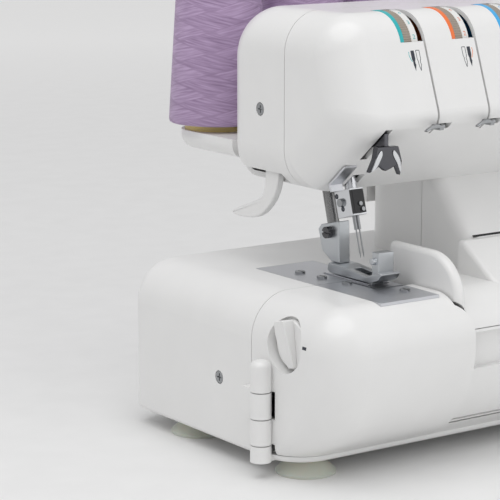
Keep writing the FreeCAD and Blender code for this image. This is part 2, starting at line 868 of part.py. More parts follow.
barrel_high = hinge_rod("barrel_high", "knuckle_high + knuckle_gap / 2", "hinge_head", "hinge_radius")
door_barrels = [
    rounded("door_barrel_high", barrel_high, (lambda p: near(p.z, number("hinge_head")), "hinge_dome")),
    hinge_rod("door_barrel_low", "knuckle_base + knuckle_gap / 2", "knuckle_low - knuckle_gap / 2",
              "hinge_radius"),
]
plate_seat = box(
    "plate_seat", ("-0.2", "-0.2", "plate_under"), ("plate_width + 0.2", "cover_seam + 1", "bed_height + 1"),
)
tongue_room = box(
    "tongue_room", ("tongue_left - plate_gap", "tongue_front - plate_gap", "plate_under - 12"),
    ("cover_right + 1", "cover_seam + 1", "bed_height + 1"),
)
door_corner = corner_block("door_corner", "0", CORNER_ROOM)
door_body = cut(
    "door_body", door_skin, knob_recess, stem_hole, plate_seat, tongue_room, door_corner, *door_notches,
)
node("front_cover", cut("door_cut", fuse("door_solid", door_body, *door_barrels), hinge_bore("door_bore")))


def top_screw(name, x, y, floor):
    """Slotted screw standing on a level face, with its shank below."""
    head = rod(name + "_head", "Z", (x, y, floor), "plate_screw_radius", "plate_screw_height")
    shank_foot = (x, y, "%s - plate_thick" % floor)
    shank = rod(name + "_shank", "Z", shank_foot, "screw_shank_radius - 0.2", "plate_thick")
    low = ("%s - 0.45" % x, "%s - plate_screw_radius" % y, "%s + plate_screw_height - 0.7" % floor)
    high = ("%s + 0.45" % x, "%s + plate_screw_radius" % y, "%s + plate_screw_height + 1" % floor)
    return cut(name, fuse(name + "_body", head, shank), box(name + "_slot", low, high))


def plate_hole(name, x, y):
    return rod(name, "Z", (x, y, "plate_under - 1"), "screw_shank_radius - 0.2 + 0.1", "plate_thick + 2")


CLOTH_SCREWS = {"a": ("16.5", "51.5"), "b": ("31.4", "18")}
NEEDLE_SCREWS = {"a": ("13.1", "91.5"), "b": ("14.9", "72.9")}
cloth_block = box("cloth_block", ("0", "0", "plate_under"), ("plate_width", "cover_seam - 0.4", "bed_height"))
cloth_tongue = box(
    "cloth_tongue", ("tongue_left - plate_gap", "tongue_front - plate_gap", "plate_under - 1"),
    ("plate_width + 1", "cover_seam + 1", "bed_height + 1"),
)
cloth_holes = [plate_hole("cloth_hole_" + mark, x, y) for mark, (x, y) in CLOTH_SCREWS.items()]
node("cloth_plate", cut("cloth_cut", cloth_block, cloth_tongue, *cloth_holes))
node("cloth_plate_screws", *[
    top_screw("cloth_screw_" + mark, x, y, "bed_height") for mark, (x, y) in CLOTH_SCREWS.items()
])

plate_block = box(
    "plate_block", ("0", "cover_seam", "plate_under"), ("plate_width", "plate_length", "bed_height"),
)
plate_tongue = box(
    "plate_tongue", ("tongue_left", "tongue_front", "plate_under"),
    ("plate_width", "cover_seam + 1", "bed_height"),
)
FEED_SLOTS = {"left": ("23.5", "27.5"), "right": ("34.5", "38.5")}
plate_slots = [
    box("feed_slot_" + side, (low, "40", "plate_under - 1"), (high, "84", "bed_height + 1"))
    for side, (low, high) in FEED_SLOTS.items()
]
needle_slot = box("needle_slot", ("29.2", "48", "plate_under - 1"), ("32.8", "57", "bed_height + 1"))
needle_holes = [plate_hole("plate_hole_" + mark, x, y) for mark, (x, y) in NEEDLE_SCREWS.items()]
node("needle_plate", cut(
    "plate_cut", fuse("plate_solid", plate_block, plate_tongue), needle_slot, *plate_slots, *needle_holes,
))
node("needle_plate_screws", *[
    top_screw("plate_screw_" + mark, x, y, "bed_height") for mark, (x, y) in NEEDLE_SCREWS.items()
])

knob_floor = "left_face + knob_recess_depth - 0.3"
disc_start = "%s - knob_disc_thick" % knob_floor
knob_side = (disc_start, "knob_back", "knob_height")
knob_disc = rod("knob_disc_rod", "X", knob_side, "knob_disc", "knob_disc_thick")
knob_grip = common(
    "knob_grip",
    box("knob_bar",
        ("left_face - knob_grip_proud", "knob_back - knob_grip_width / 2", "knob_height - knob_disc"),
        (knob_floor, "knob_back + knob_grip_width / 2", "knob_height + knob_disc")),
    rod("knob_limit", "X", ("left_face - knob_grip_proud", "knob_back", "knob_height"),
        "knob_disc - 0.6", "30"),
)
knob_grip_round = rounded(
    "knob_grip_round", knob_grip,
    (lambda p: near(p.x, number("left_face - knob_grip_proud")), "1.2"),
)
knob_shaft = rod("knob_shaft", "X", (knob_floor, "knob_back", "knob_height"), "knob_stem", "wall + 4")
node("width_knob", fuse("knob_solid", knob_disc, knob_grip_round, knob_shaft))

# Head and column covers
BAR_ROOM = (
    ("needle_x - needle_bar_radius - bar_clear", "57", "head_floor - 5"),
    ("needle_x + needle_bar_radius + bar_clear", "104", "head_floor + 10"),
)
half_gap = "seam_gap / 2"


def half_zone(name, front):
    """Space in front of the head seam or behind it."""
    if front:
        return box(name, ("head_left - 5", "ridge_front - 20", "bed_height"),
                   ("head_right + 5", "head_seam - %s" % half_gap, "head_top + 9"))
    return box(name, ("head_left - 5", "head_seam + %s" % half_gap, "bed_height"),
               ("head_right + 5", "head_rear + 9", "head_top + 9"))


DIALS = ("1", "2", "3", "4")


def dial_start(mark):
    return "dial_left + dial_pitch * %d" % (int(mark) - 1)


head_rooms = []
for mark in DIALS:
    start = dial_start(mark)
    pocket_start = ("%s - dial_clear" % start, "dial_back", "dial_axis")
    pocket_width = "dial_width + dial_clear * 2"
    pocket = rod("pocket_" + mark, "X", pocket_start, "dial_radius + dial_clear", pocket_width)
    window = box("window_" + mark, ("%s - dial_clear" % start, "ridge_front", "dial_axis + 5.6"),
                 ("%s + slot_offset + slot_width" % start, "dial_back + 4", "head_top + 5"))
    slot = box("slot_" + mark, ("%s + slot_offset" % start, "ridge_front - 5", "ridge_height - 8"),
               ("%s + slot_offset + slot_width" % start, "dial_back", "dial_axis + 8"))
    hook_room = box("hook_room_" + mark, ("%s + 12.8" % start, "ridge_front - 5", "ridge_height - 5.4"),
                    ("%s + 27.2" % start, "ridge_front + 16", "ridge_height - 2"))
    head_rooms += [pocket, window, slot, hook_room]
take_up_slot = box(
    "take_up_slot", ("21", "ridge_front - 5", "ridge_height - 22"),
    ("26", "ridge_front + 32", "ridge_height - 3"),
)
front_room = box("front_bar_room", *BAR_ROOM)
rear_room = box("rear_bar_room", *BAR_ROOM)
head_front = common("head_front", head_shell, half_zone("head_front_zone", True))
node("head_front_cover", cut(
    "head_front_cut", head_front, front_room, take_up_slot, column_inner, *head_rooms,
))
lever_slot = box(
    "lever_slot", ("lever_left - 1.5", "lever_back - 14", "head_floor - 5"),
    ("lever_left + lever_thick + 1.5", "head_rear + 9", "head_floor + 17"),
)
head_rear = common("head_rear", head_shell, half_zone("head_rear_zone", False))
node("head_rear_cover", cut(
    "head_rear_cut", head_rear, rear_room, lever_slot, column_inner,
    *side_screw_room("head_screw_room", HEAD_SCREW[0], HEAD_SCREW[1], "head_left"),
))
column_front = common("column_front", column_shell, half_zone("column_front_zone", True))
column_rear = common("column_rear", column_shell, half_zone("column_rear_zone", False))
node("column_front_cover", column_front)
node("column_rear_cover", column_rear)
node(
    "casing_screws",
    side_screw("bed_screw", BED_SCREW[0], BED_SCREW[1], "left_face", "0.2"),
    side_screw("head_screw", HEAD_SCREW[0], HEAD_SCREW[1], "head_left", "0.2"),
)

guard_nose = "-guard_nose"
guard_crest = "bed_height - guard_chin + guard_bend"
guard_block = prism("guard_block", "YZ", "guard_left", "guard_width", [
    (guard_nose, "corner_low"),
    (guard_nose, "bed_height - guard_chin", "guard_bend"),
    ("guard_bend - guard_nose", guard_crest),
    ("guard_rear", guard_crest),
    ("guard_rear", "corner_low"),
])
guard_sides = [number(text) for text in ("guard_left", "guard_left + guard_width")]
guard_limits = [number(text) for text in ("guard_rear", "corner_low")]


def guard_outline(side):
    """Test for the nose and top edges of one side."""
    return lambda p: near(p.x, side) and not near(p.y, guard_limits[0]) and not near(p.z, guard_limits[1])


guard_body = rounded(
    "guard_body", guard_block, *[(guard_outline(side), "guard_edge") for side in guard_sides],
)
guard_under = corner_block("guard_under", "cover_gap", CORNER_UNDER)
node("knife_guard", cut("guard_cut", guard_body, recess_outer, guard_under))

# Frame and bearings
FRAME_BLOCKS = {
    "slab": (("60", "66", "base_top"), ("232", "122", "base_top + 8")),
    "looper_wall": (("-2", "64", "base_top"), ("110", "72", "plate_under - 8")),
    "shelf": (("1", "60", "plate_under - 8"), ("40", "116", "plate_under")),
    "post": (("112", "92", "base_top"), ("150", "122", "212")),
    "shaft_post": (("205", "95", "base_top"), ("217", "123", "shaft_height + 14")),
    "motor_wall": (("178", "116", "base_top"), ("184", "168", "motor_height + 26")),
    "arm": (("50", "100", "196"), ("232", "126", "212")),
    "lever_tie": (("42", "98", "lever_height - 10"), ("50", "118", "212")),
    "take_up_tie": (("42", "56", "take_up_height - 8"), ("50", "76", "take_up_height + 8")),
    "knife_block": (("44.6", "54", "58"), ("56", "64", "80")),
}
frame_blocks = [box("frame_" + name, low, high) for name, (low, high) in FRAME_BLOCKS.items()]
LUGS = {"low": "lug_low", "high": "lug_high"}


def lug_start(mark):
    return "floor_reach + %s" % LUGS[mark]


def bar_rod(name, spot, start, radius, length):
    """Cylinder along the leaning bars, before leaning."""
    return rod(name, "Z", ("0", spot, start), radius, length)


bracket_plate = box(
    "bracket_plate", ("11", "-7", "floor_reach + 12"), ("19", "bar_spacing + 10", "floor_reach + 90"),
)
bracket_lugs = [
    box("bracket_lug_" + mark, ("-9", "-7", lug_start(mark)),
        ("12", "bar_spacing + 8", "%s + lug_thick" % lug_start(mark)))
    for mark in LUGS
]
needle_bush = "needle_bar_radius + bush_wall"
presser_bush = "presser_bar_radius + bush_wall"
bracket = cut(
    "bracket", fuse("bracket_solid", bracket_plate, *bracket_lugs),
    bar_rod("needle_bush_bore", "0", "floor_reach", needle_bush, "100"),
    bar_rod("presser_bush_bore", "bar_spacing", "floor_reach", presser_bush, "100"),
)
frame_solid = fuse("frame_solid", tilted("bracket_lean", bracket), *frame_blocks)
shaft_bush = "shaft_radius + bush_wall + 1"


def shaft_rod(name, start, radius, length):
    return rod(name, "X", (start, "shaft_back", "shaft_height"), radius, length)


def looper_rod(name, mark, start, radius, length):
    return rod(name, "Y", (mark + "_pin_x", start, mark + "_pin_z"), radius, length)


frame_rooms = [
    box("feed_channel", ("22", "59", "plate_under - 10"), ("41", "88", "plate_under + 1")),
    shaft_rod("shaft_bush_bore", "105", shaft_bush, "125"),
    rod("motor_hole", "X", ("170", "motor_back", "motor_height"), "motor_shaft_radius + 2", "20"),
    rod("lever_pin_bore", "X", ("41", "lever_back", "lever_height"), "pivot_radius", "5"),
    rod("take_up_pin_bore", "X", ("41", "take_up_back", "take_up_height"), "pivot_radius", "5"),
    looper_rod("upper_pin_bore", "upper", "63", "looper_pin", "7"),
    looper_rod("lower_pin_bore", "lower", "63", "looper_pin", "7"),
]
node("main_frame", cut("frame_cut", frame_solid, *frame_rooms))


def lug_bush(name, spot, mark, outer, inner):
    ring = bar_rod(name + "_ring", spot, lug_start(mark), outer, "lug_thick")
    return cut(name, ring, bar_rod(name + "_bore", spot, "floor_reach", inner, "100"))


lug_bushes = []
for mark in LUGS:
    needle_inner = "needle_bar_radius + run_clear"
    presser_inner = "presser_bar_radius + run_clear"
    lug_bushes.append(lug_bush("needle_bush_" + mark, "0", mark, needle_bush, needle_inner))
    lug_bushes.append(lug_bush("presser_bush_" + mark, "bar_spacing", mark, presser_bush, presser_inner))
shaft_bushes = []
for mark, (start, length) in {"left": ("112", "38"), "right": ("205", "12")}.items():
    ring = shaft_rod("shaft_ring_" + mark, start, shaft_bush, length)
    bore = shaft_rod("shaft_ring_bore_" + mark, start + " - 1", "shaft_radius + run_clear", length + " + 2")
    shaft_bushes.append(cut("shaft_bush_" + mark, ring, bore))
node("bushes", tilted("bush_lean", *lug_bushes), *shaft_bushes)
node(
    "pivot_pins",
    rod("lever_pin", "X", ("1", "lever_back", "lever_height"), "pivot_radius", "45"),
    rod("take_up_pin", "X", ("18.5", "take_up_back", "take_up_height"), "pivot_radius", "27.5"),
    looper_rod("upper_pin", "upper", "38", "looper_pin", "32"),
    looper_rod("lower_pin", "lower", "56", "looper_pin", "14"),
)

# Needle bar group, built upright
bar = bar_rod("needle_bar_rod", "0", "bar_foot", "needle_bar_radius", "bar_top - bar_foot")
node("needle_bar", tilted("needle_bar_lean", bar))
NEEDLES = {"left": "-needle_pitch / 2", "right": "needle_pitch / 2"}
clamp_block = box(
    "clamp_block", ("-clamp_half", "-4.5", "clamp_foot"), ("clamp_half", "clamp_back", "clamp_head"),
)
clamp_bore = bar_rod("clamp_bore", "0", "bar_foot", "needle_bar_radius", "40")
shank_bores = [
    rod("shank_bore_" + side, "Z", (x, "0", "clamp_foot - 5"), "needle_shank", "bar_foot - clamp_foot + 5")
    for side, x in NEEDLES.items()
]
clamp = cut("clamp", clamp_block, clamp_bore, *shank_bores)
node("needle_clamp", tilted("clamp_lean", clamp))
clamp_cap = box(
    "clamp_cap", ("-clamp_half - 0.5", "-7.5", "clamp_foot + 1"),
    ("clamp_cap_right", "-4.5", "clamp_head - 1"),
)
node("clamp_plate", tilted("clamp_cap_lean", clamp_cap))
CLAMP_SCREWS = {"low": ("0.1", "clamp_foot + 3"), "high": ("-1.2", "clamp_foot + 6.2")}
clamp_screws = [
    rod("clamp_screw_" + mark, "Y", (x, "-8.5", height), "clamp_screw_radius", "1")
    for mark, (x, height) in CLAMP_SCREWS.items()
]
clamp_screws.append(
    rod("clamp_bolt", "X", ("-clamp_half - 1.6", "4.5", "clamp_head - 7"), "clamp_screw_radius * 2", "1.6"),
)
node("clamp_screws", tilted("clamp_screw_lean", *clamp_screws))
needles = []
for side, x in NEEDLES.items():
    shank_length = "bar_foot - needle_shoulder"
    shank = rod("shank_" + side, "Z", (x, "0", "needle_shoulder"), "needle_shank", shank_length)
    blade_length = "needle_shoulder - needle_reach - 2"
    blade = rod("blade_" + side, "Z", (x, "0", "needle_reach + 3"), "needle_blade", blade_length)
    tip = cone("tip_" + side, "Z", (x, "0", "needle_reach"), "0.1", "needle_blade", "3")
    needles.append(fuse("needle_" + side, shank, blade, tip))
node("needles", tilted("needle_lean", *needles))

# Presser group
presser_rod = bar_rod(
    "presser_rod", "bar_spacing", "presser_foot_end", "presser_bar_radius", "presser_top - presser_foot_end",
)
presser_lean = tilted("presser_lean", presser_rod)
node("presser_bar", presser_lean)
ankle_block = prism("ankle_block", "YZ", "ankle_left", "ankle_width", [
    ("72.5", "sole_top"),
    ("80", "sole_top"),
    ("89", "sole_top + 5"),
    ("93", "sole_top + 17"),
    ("90", "sole_top + 20.5"),
    ("73.5", "sole_top + 24.5"),
])
node("foot_ankle", cut("ankle_cut", ankle_block, presser_lean))
screw_start = "ankle_left - 3"
ankle_screw_head = rod("ankle_screw_head", "X", (screw_start, "82", "sole_top + 17"), "3.4", "3")
ankle_screw_slot = box(
    "ankle_screw_slot", ("%s - 1" % screw_start, "78", "sole_top + 16.5"),
    ("%s + 1" % screw_start, "86", "sole_top + 17.5"),
)
node("foot_screw", cut("ankle_screw", ankle_screw_head, ankle_screw_slot))
sole = prism("sole", "YZ", "sole_left", "sole_width", [
    ("33", "sole_under + 2.7"),
    ("40", "sole_under"),
    ("78", "sole_under"),
    ("80", "sole_under + 1.7"),
    ("79", "sole_top"),
    ("69", "sole_top"),
    ("44", "sole_under + 3.2"),
    ("31", "sole_under + 7.2"),
    ("30", "sole_under + 6.2"),
])
sole_right = "sole_left + sole_width"
toe_block = box(
    "toe_block", ("sole_left + 1.5", "34.5", "sole_under + 3"),
    ("%s - 1.5" % sole_right, "40.5", "sole_under + 18"),
)
sole_slot = box("sole_slot", ("28", "46", "sole_under - 1"), ("34", "61", "sole_top + 1"))
toe_pin = rod("toe_pin", "X", ("sole_left - 1.5", "37.5", "sole_under + 13"), "1.8", "5")
node("presser_foot", cut("foot_cut", fuse("foot_solid", sole, toe_block, toe_pin), sole_slot))
lever_blade = prism("lever_blade", "YZ", "lever_left", "lever_thick", [
    ("lever_back - 5", "lever_height - 4"),
    ("lever_back - 6", "lever_height - 11"),
    ("lever_back - 4", "lever_height - 24"),
    ("lever_back + 8", "lever_height - 42"),
    ("lever_back + 30", "lever_height - 48"),
    ("lever_back + 39", "lever_height - 47.5"),
    ("lever_back + 39", "lever_height - 43"),
    ("lever_back + 32", "lever_height - 41"),
    ("lever_back + 14", "lever_height - 34"),
    ("lever_back + 4", "lever_height - 16"),
    ("lever_back + 5", "lever_height - 4"),
])
lever_hub = rod("lever_hub", "X", ("lever_left", "lever_back", "lever_height"), "7", "lever_thick")
lever_side = ("lever_left - 5", "lever_back", "lever_height")
lever_bore = rod("lever_bore", "X", lever_side, "pivot_radius + run_clear", "20")
node("lifter_lever", cut("lever_cut", fuse("lever_solid", lever_blade, lever_hub), lever_bore))

# Take-up, feed, loopers and knives
take_up_hub = rod("take_up_hub", "X", ("20.5", "take_up_back", "take_up_height"), "5", "6")
take_up_stem = box(
    "take_up_stem", ("22", "26", "take_up_height - 9"), ("25", "take_up_back - 3", "take_up_height"),
)
TAKE_UP_CLAW = [
    ("16", "take_up_height - 7"),
    ("31", "take_up_height - 7.5"),
    ("33.5", "take_up_height - 16"),
    ("32.3", "take_up_height - 24"),
    ("29.5", "take_up_height - 18"),
    ("26", "take_up_height - 19.5"),
    ("22", "take_up_height - 20.8"),
    ("18.5", "take_up_height - 17.5"),
    ("10.8", "take_up_height - 21"),
    ("14.5", "take_up_height - 14"),
]
take_up_blade = prism("take_up_blade", "XZ", "-28.5", "4", TAKE_UP_CLAW)
take_up_side = ("15", "take_up_back", "take_up_height")
take_up_bore = rod("take_up_bore", "X", take_up_side, "pivot_radius + run_clear", "20")
take_up_solid = fuse("take_up_solid", take_up_hub, take_up_stem, take_up_blade)
node("take_up", cut("take_up_cut", take_up_solid, take_up_bore))
node("bar_thread_guide", prism("guide_sheet", "YZ", "13.5", "8.5", [
    ("slope_end - 21", "head_floor + 17.31"),
    ("slope_end - 21.76", "head_floor + 16.39"),
    ("slope_end - 8", "head_floor + 5.01"),
    ("slope_end - 9.5", "head_floor + 1.5"),
    ("slope_end - 8.3", "head_floor + 1"),
    ("slope_end - 6.4", "head_floor + 5.24"),
]))
FEED_ROWS = {"left": ("24", "27"), "right": ("35", "38")}
feed_rows = [
    box("feed_row_" + side, (low, "42", "plate_under - 4"), (high, "82", "feed_top"))
    for side, (low, high) in FEED_ROWS.items()
]
feed_bridge = box("feed_bridge", ("24", "62", "plate_under - 6"), ("38", "84", "plate_under - 2"))
node("feed_dog", fuse("feed_solid", feed_bridge, *feed_rows))
UPPER_ARM = [("64", "34"), ("66", "46"), ("25", "60"), ("25", "80"), ("21", "84"), ("19", "60"), ("22", "53")]
LOWER_ARM = [("50", "30"), ("52", "42"), ("14", "54"), ("10", "72"), ("6", "72"), ("8", "50"), ("12", "45")]
LOOPERS = {"upper": ("40.5", UPPER_ARM), "lower": ("58", LOWER_ARM)}
for mark, (front, arm) in LOOPERS.items():
    arm_body = prism(mark + "_arm", "XZ", "-(%s + 4)" % front, "4", arm)
    hub = looper_rod(mark + "_hub", mark, front, "looper_hub", "4")
    bore = looper_rod(mark + "_hub_bore", mark, front + " - 5", "looper_pin + run_clear", "14")
    node(mark + "_looper", cut(mark + "_looper_cut", fuse(mark + "_looper_solid", arm_body, hub), bore))
node("upper_knife", box("upper_blade", ("plate_width + 0.3", "40", "70"), ("plate_width + 3.3", "62", "97")))
node("lower_knife", box(
    "lower_blade", ("38.8", "44", "84"), ("plate_width - 0.4", "64", "plate_under - 0.1"),
))

# Tension units
bracket_low = ("%s + 14.5" % dial_start("1"), "84", "198")
bracket_high = ("%s + 17.5" % dial_start("4"), "92", "210")
tension_parts = [box("tension_bar", bracket_low, bracket_high)]
hooks = []
for mark in DIALS:
    start = dial_start(mark)
    blade_low = ("%s + 14.5" % start, "48", "198")
    blade = box("tension_plate_" + mark, blade_low, ("%s + 17.5" % start, "92", "240"))
    stud_start = ("%s + 1" % start, "dial_back", "dial_axis")
    stud = rod("tension_stud_" + mark, "X", stud_start, "stud_radius", "14")
    tension_parts += [blade, stud]
    hooks.append(box("hook_" + mark, ("%s + 13" % start, "ridge_front - 1", "ridge_height - 5.2"),
                     ("%s + 27" % start, "ridge_front + 15", "ridge_height - 2.2")))
node("tension_bracket", fuse("tension_solid", *tension_parts))
node("thread_hooks", *hooks)
for mark in DIALS:
    start = dial_start(mark)
    rings = []
    offset = "0"
    for ring, width in (("flange", "flange_width"), ("grip", "grip_width"), ("number", "number_width")):
        spot = ("%s + %s" % (start, offset), "dial_back", "dial_axis")
        radius = {"flange": "dial_radius", "grip": "dial_radius - 0.2", "number": "dial_radius - 0.6"}[ring]
        rings.append(rod("dial_%s_%s" % (ring, mark), "X", spot, radius, width))
        offset = "%s + %s" % (offset, width)
    bore_start = ("%s - 1" % start, "dial_back", "dial_axis")
    bore = rod("dial_bore_" + mark, "X", bore_start, "stud_radius + run_clear", "20")
    node("tension_dial_" + mark, cut("dial_cut_" + mark, fuse("dial_solid_" + mark, *rings), bore))

# Drive
shaft = shaft_rod("shaft", "104", "shaft_radius", "right_end - 3 - 104")
pulley = shaft_rod("pulley", "160", "pulley_radius", "pulley_width")
node("main_shaft", fuse("shaft_solid", shaft, pulley))
wheel_rod = shaft_rod("wheel_rod", "wheel_left", "wheel_radius", "wheel_width")
wheel_round = rounded("wheel_round", wheel_rod, (lambda p: p.x > number("right_end") - 0.01, "4"),
                      (lambda p: p.x < number("wheel_left") + 0.01, "2"))
wheel_bore = shaft_rod("wheel_bore", "casing_right", "shaft_radius", "right_end - 3 - casing_right")
node("handwheel", cut("wheel_cut", wheel_round, wheel_bore))


def motor_rod(name, start, radius, length):
    return rod(name, "X", (start, "motor_back", "motor_height"), radius, length)


motor_body = motor_rod("motor_body", "184", "motor_radius", "motor_length")
motor_bore = motor_rod("motor_bore", "180", "motor_shaft_radius + run_clear", "30")
node("motor", cut("motor_cut", motor_body, motor_bore))
node("motor_pulley", fuse(
    "motor_pulley_solid", motor_rod("motor_pulley_rod", "160", "motor_pulley_radius", "pulley_width"),
    motor_rod("motor_shaft_rod", "160", "motor_shaft_radius", "48"),
))


def belt_face(start, spread):
    """Face inside a loop round the two pulleys, standing off them by the spread."""
    big = Vector(start, number("shaft_back"), number("shaft_height"))
    small = Vector(start, number("motor_back"), number("motor_height"))
    run = small.sub(big)
    big_radius = number("pulley_radius") + spread
    small_radius = number("motor_pulley_radius") + spread
    lean = math.atan2(run.z, run.y)
    half = math.acos((big_radius - small_radius) / run.Length)

    def on(centre, radius, angle):
        return centre.add(Vector(0, radius * math.cos(angle), radius * math.sin(angle)))

    big_arc = Part.Arc(*[on(big, big_radius, lean + turn) for turn in (half, math.pi, 2 * math.pi - half)])
    small_arc = Part.Arc(*[on(small, small_radius, lean + turn) for turn in (-half, 0, half)])
    edges = [
        big_arc,
        Part.LineSegment(on(big, big_radius, lean - half), on(small, small_radius, lean - half)),
        small_arc,
        Part.LineSegment(on(small, small_radius, lean + half), on(big, big_radius, lean + half)),
    ]
    return Part.Face(Part.Wire([edge.toShape() for edge in edges]))


belt = DOC.addObject("Part::Feature", "belt")
belt_inside = number("belt_clear")
belt_outside = number("belt_clear + belt_thick")
belt_along = Vector(number("belt_width"), 0, 0)
belt_hollow = belt_face(161.5, belt_inside).extrude(belt_along)
belt.Shape = belt_face(161.5, belt_outside).extrude(belt_along).cut(belt_hollow)
node("drive_belt", belt)

# Spool stand
tray_left = "cone_first - tray_round"
tray_right = "cone_first + cone_pitch * 3 + tray_round"
tray_rear = "cone_row + tray_round"
tray_low = "tray_top - tray_thick"
tray_block = box("tray_block", (tray_left, "head_rear", tray_low), (tray_right, tray_rear, "tray_top"))
tray_tile = rounded(
    "tray_tile", tray_block,
    (upright_at(tray_left, tray_rear), "tray_round"),
    (upright_at(tray_right, tray_rear), "tray_round"),
)
tray = rounded(
    "tray", tray_tile,
    (lambda p: near(p.z, number(tray_low)) and p.y > number("head_rear") + 0.1, "tray_edge"),
)
POLE_X = "cone_first + cone_pitch * 1.5"


def pole_part(name, low, radius, high):
    return rod(name, "Z", (POLE_X, "pole_back", low), radius, "(%s) - (%s)" % (high, low))


boss_foot = "%s + tray_edge" % tray_low
boss = pole_part("pole_boss", boss_foot, "pole_boss_radius", "tray_top + 4")
rib = box("tray_rib", ("105", "head_rear", "125"), ("200", "head_rear + 8", "%s + 1" % tray_low))
stand_solid = fuse("stand_solid", tray, boss, rib)
tube_foot = "%s + 1" % boss_foot
tube_top = "tray_top + pole_tube_height - 10"
tube_room = pole_part("tube_room", tube_foot, "pole_tube_radius", "tray_top + 20")
node("spool_stand", cut("stand_cut", stand_solid, tube_room))
bore_foot = "%s + 1.5" % tube_foot
rod_foot = "%s + pole_travel + 2" % bore_foot
node("pole_tube", cut(
    "tube_cut", pole_part("tube_rod", tube_foot, "pole_tube_radius", tube_top),
    pole_part("tube_bore", bore_foot, "pole_rod_radius + run_clear", "%s + 5" % tube_top),
))
pins = []
cores = []
windings = []
guide_parts = [
    pole_part("pole_rod", rod_foot, "pole_rod_radius", "pole_top"),
    box("guide_bar", ("cone_first - 9", "pole_back - 6", "pole_top - 6"),
        ("cone_first + cone_pitch * 3 + 9", "pole_back + 4", "pole_top - 2")),
]
for mark in DIALS:
    x = "cone_first + cone_pitch * %d" % (int(mark) - 1)
    seat = (x, "cone_row", "tray_top")
    foot = (x, "cone_row", "thread_foot")
    pins.append(rod("spool_pin_" + mark, "Z", seat, "spool_pin_radius", "spool_pin_height"))
    taper_shape = ("core_foot_radius", "core_top_radius", "core_height - core_flange_thick")
    flange = rod("core_flange_" + mark, "Z", seat, "core_flange", "core_flange_thick")
    taper = cone("core_taper_" + mark, "Z", foot, *taper_shape)
    bore = rod("core_bore_" + mark, "Z", (x, "cone_row", "tray_top - 1"), "core_bore", "core_height + 2")
    cores.append(cut("core_" + mark, fuse("core_solid_" + mark, flange, taper), bore))
    wind = cone("wind_" + mark, "Z", foot, "thread_foot_radius", "thread_top_radius", "thread_height")
    inside = cone("wind_bore_" + mark, "Z", foot, *taper_shape)
    windings.append(cut("winding_" + mark, wind, inside))
    ring_spot = (x, "pole_back - 6 - guide_ring", "pole_top - 4")
    guide_parts.append(torus("guide_ring_" + mark, "Z", ring_spot, "guide_ring", "guide_wire"))
node("spool_pins", *pins)
node("cone_cores", *cores)
node("thread_windings", *windings)
node("thread_guide", fuse("guide_solid", *guide_parts))

# Controls on the right end
for label, spot in (("stitch_length_dial", STITCH_DIAL), ("differential_dial", FEED_DIAL)):
    disc_start = ("casing_right + 0.3", spot[0], spot[1])
    disc = rod(label + "_disc", "X", disc_start, "dial_small_radius", "dial_small_thick")
    disc_face = number("casing_right + dial_small_thick") + 0.2
    disc_round = rounded(label + "_round", disc, (lambda p: p.x > disc_face, "1.5"))
    stem = rod(label + "_stem", "X", ("casing_right - 7", spot[0], spot[1]), "knob_stem", "8")
    node(label, fuse(label + "_solid", disc_round, stem))
node("power_switch", box(
    "rocker",
    ("casing_right - 5", "%s + rocker_clear" % ROCKER[0][0], "%s + rocker_clear" % ROCKER[0][1]),
    ("casing_right + 2.2", "%s - rocker_clear" % ROCKER[1][0], "%s - rocker_clear" % ROCKER[1][1]),
))
inlet_block = box(
    "inlet_block", ("casing_right - 10", INLET[0][0], INLET[0][1]),
    ("casing_right + 1.2", INLET[1][0], INLET[1][1]),
)
inlet_room = box(
    "inlet_room", ("casing_right - 8", "%s + 2.5" % INLET[0][0], "%s + 2.5" % INLET[0][1]),
    ("casing_right + 5", "%s - 2.5" % INLET[1][0], "%s - 2.5" % INLET[1][1]),
)
inlet_pins = [
    rod("inlet_pin_" + mark, "X", ("casing_right - 9", "%s + 7" % INLET[0][0], z), "1.2", "8")
    for mark, z in (("low", "%s + 6" % INLET[0][1]), ("high", "%s + 12" % INLET[0][1]))
]
node("power_inlet", fuse("inlet_solid", cut("inlet_shell", inlet_block, inlet_room), *inlet_pins))


def check_objects():
    """Stop if any object failed or any node is empty or broken."""
    DOC.recompute()
    for obj in DOC.Objects:
        if "Invalid" in obj.State or "Error" in obj.State:
            raise RuntimeError("failed object " + obj.Name)
    for part in NODES:
        if part.Shape.isNull() or not part.Shape.isValid() or not part.Shape.Solids:
            raise RuntimeError("bad shape " + part.Label)


check_objects()
os.makedirs("parts", exist_ok=True)
for part in NODES:
    part.Shape.exportStep("parts/%s.step" % part.Label)
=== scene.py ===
import json
import math

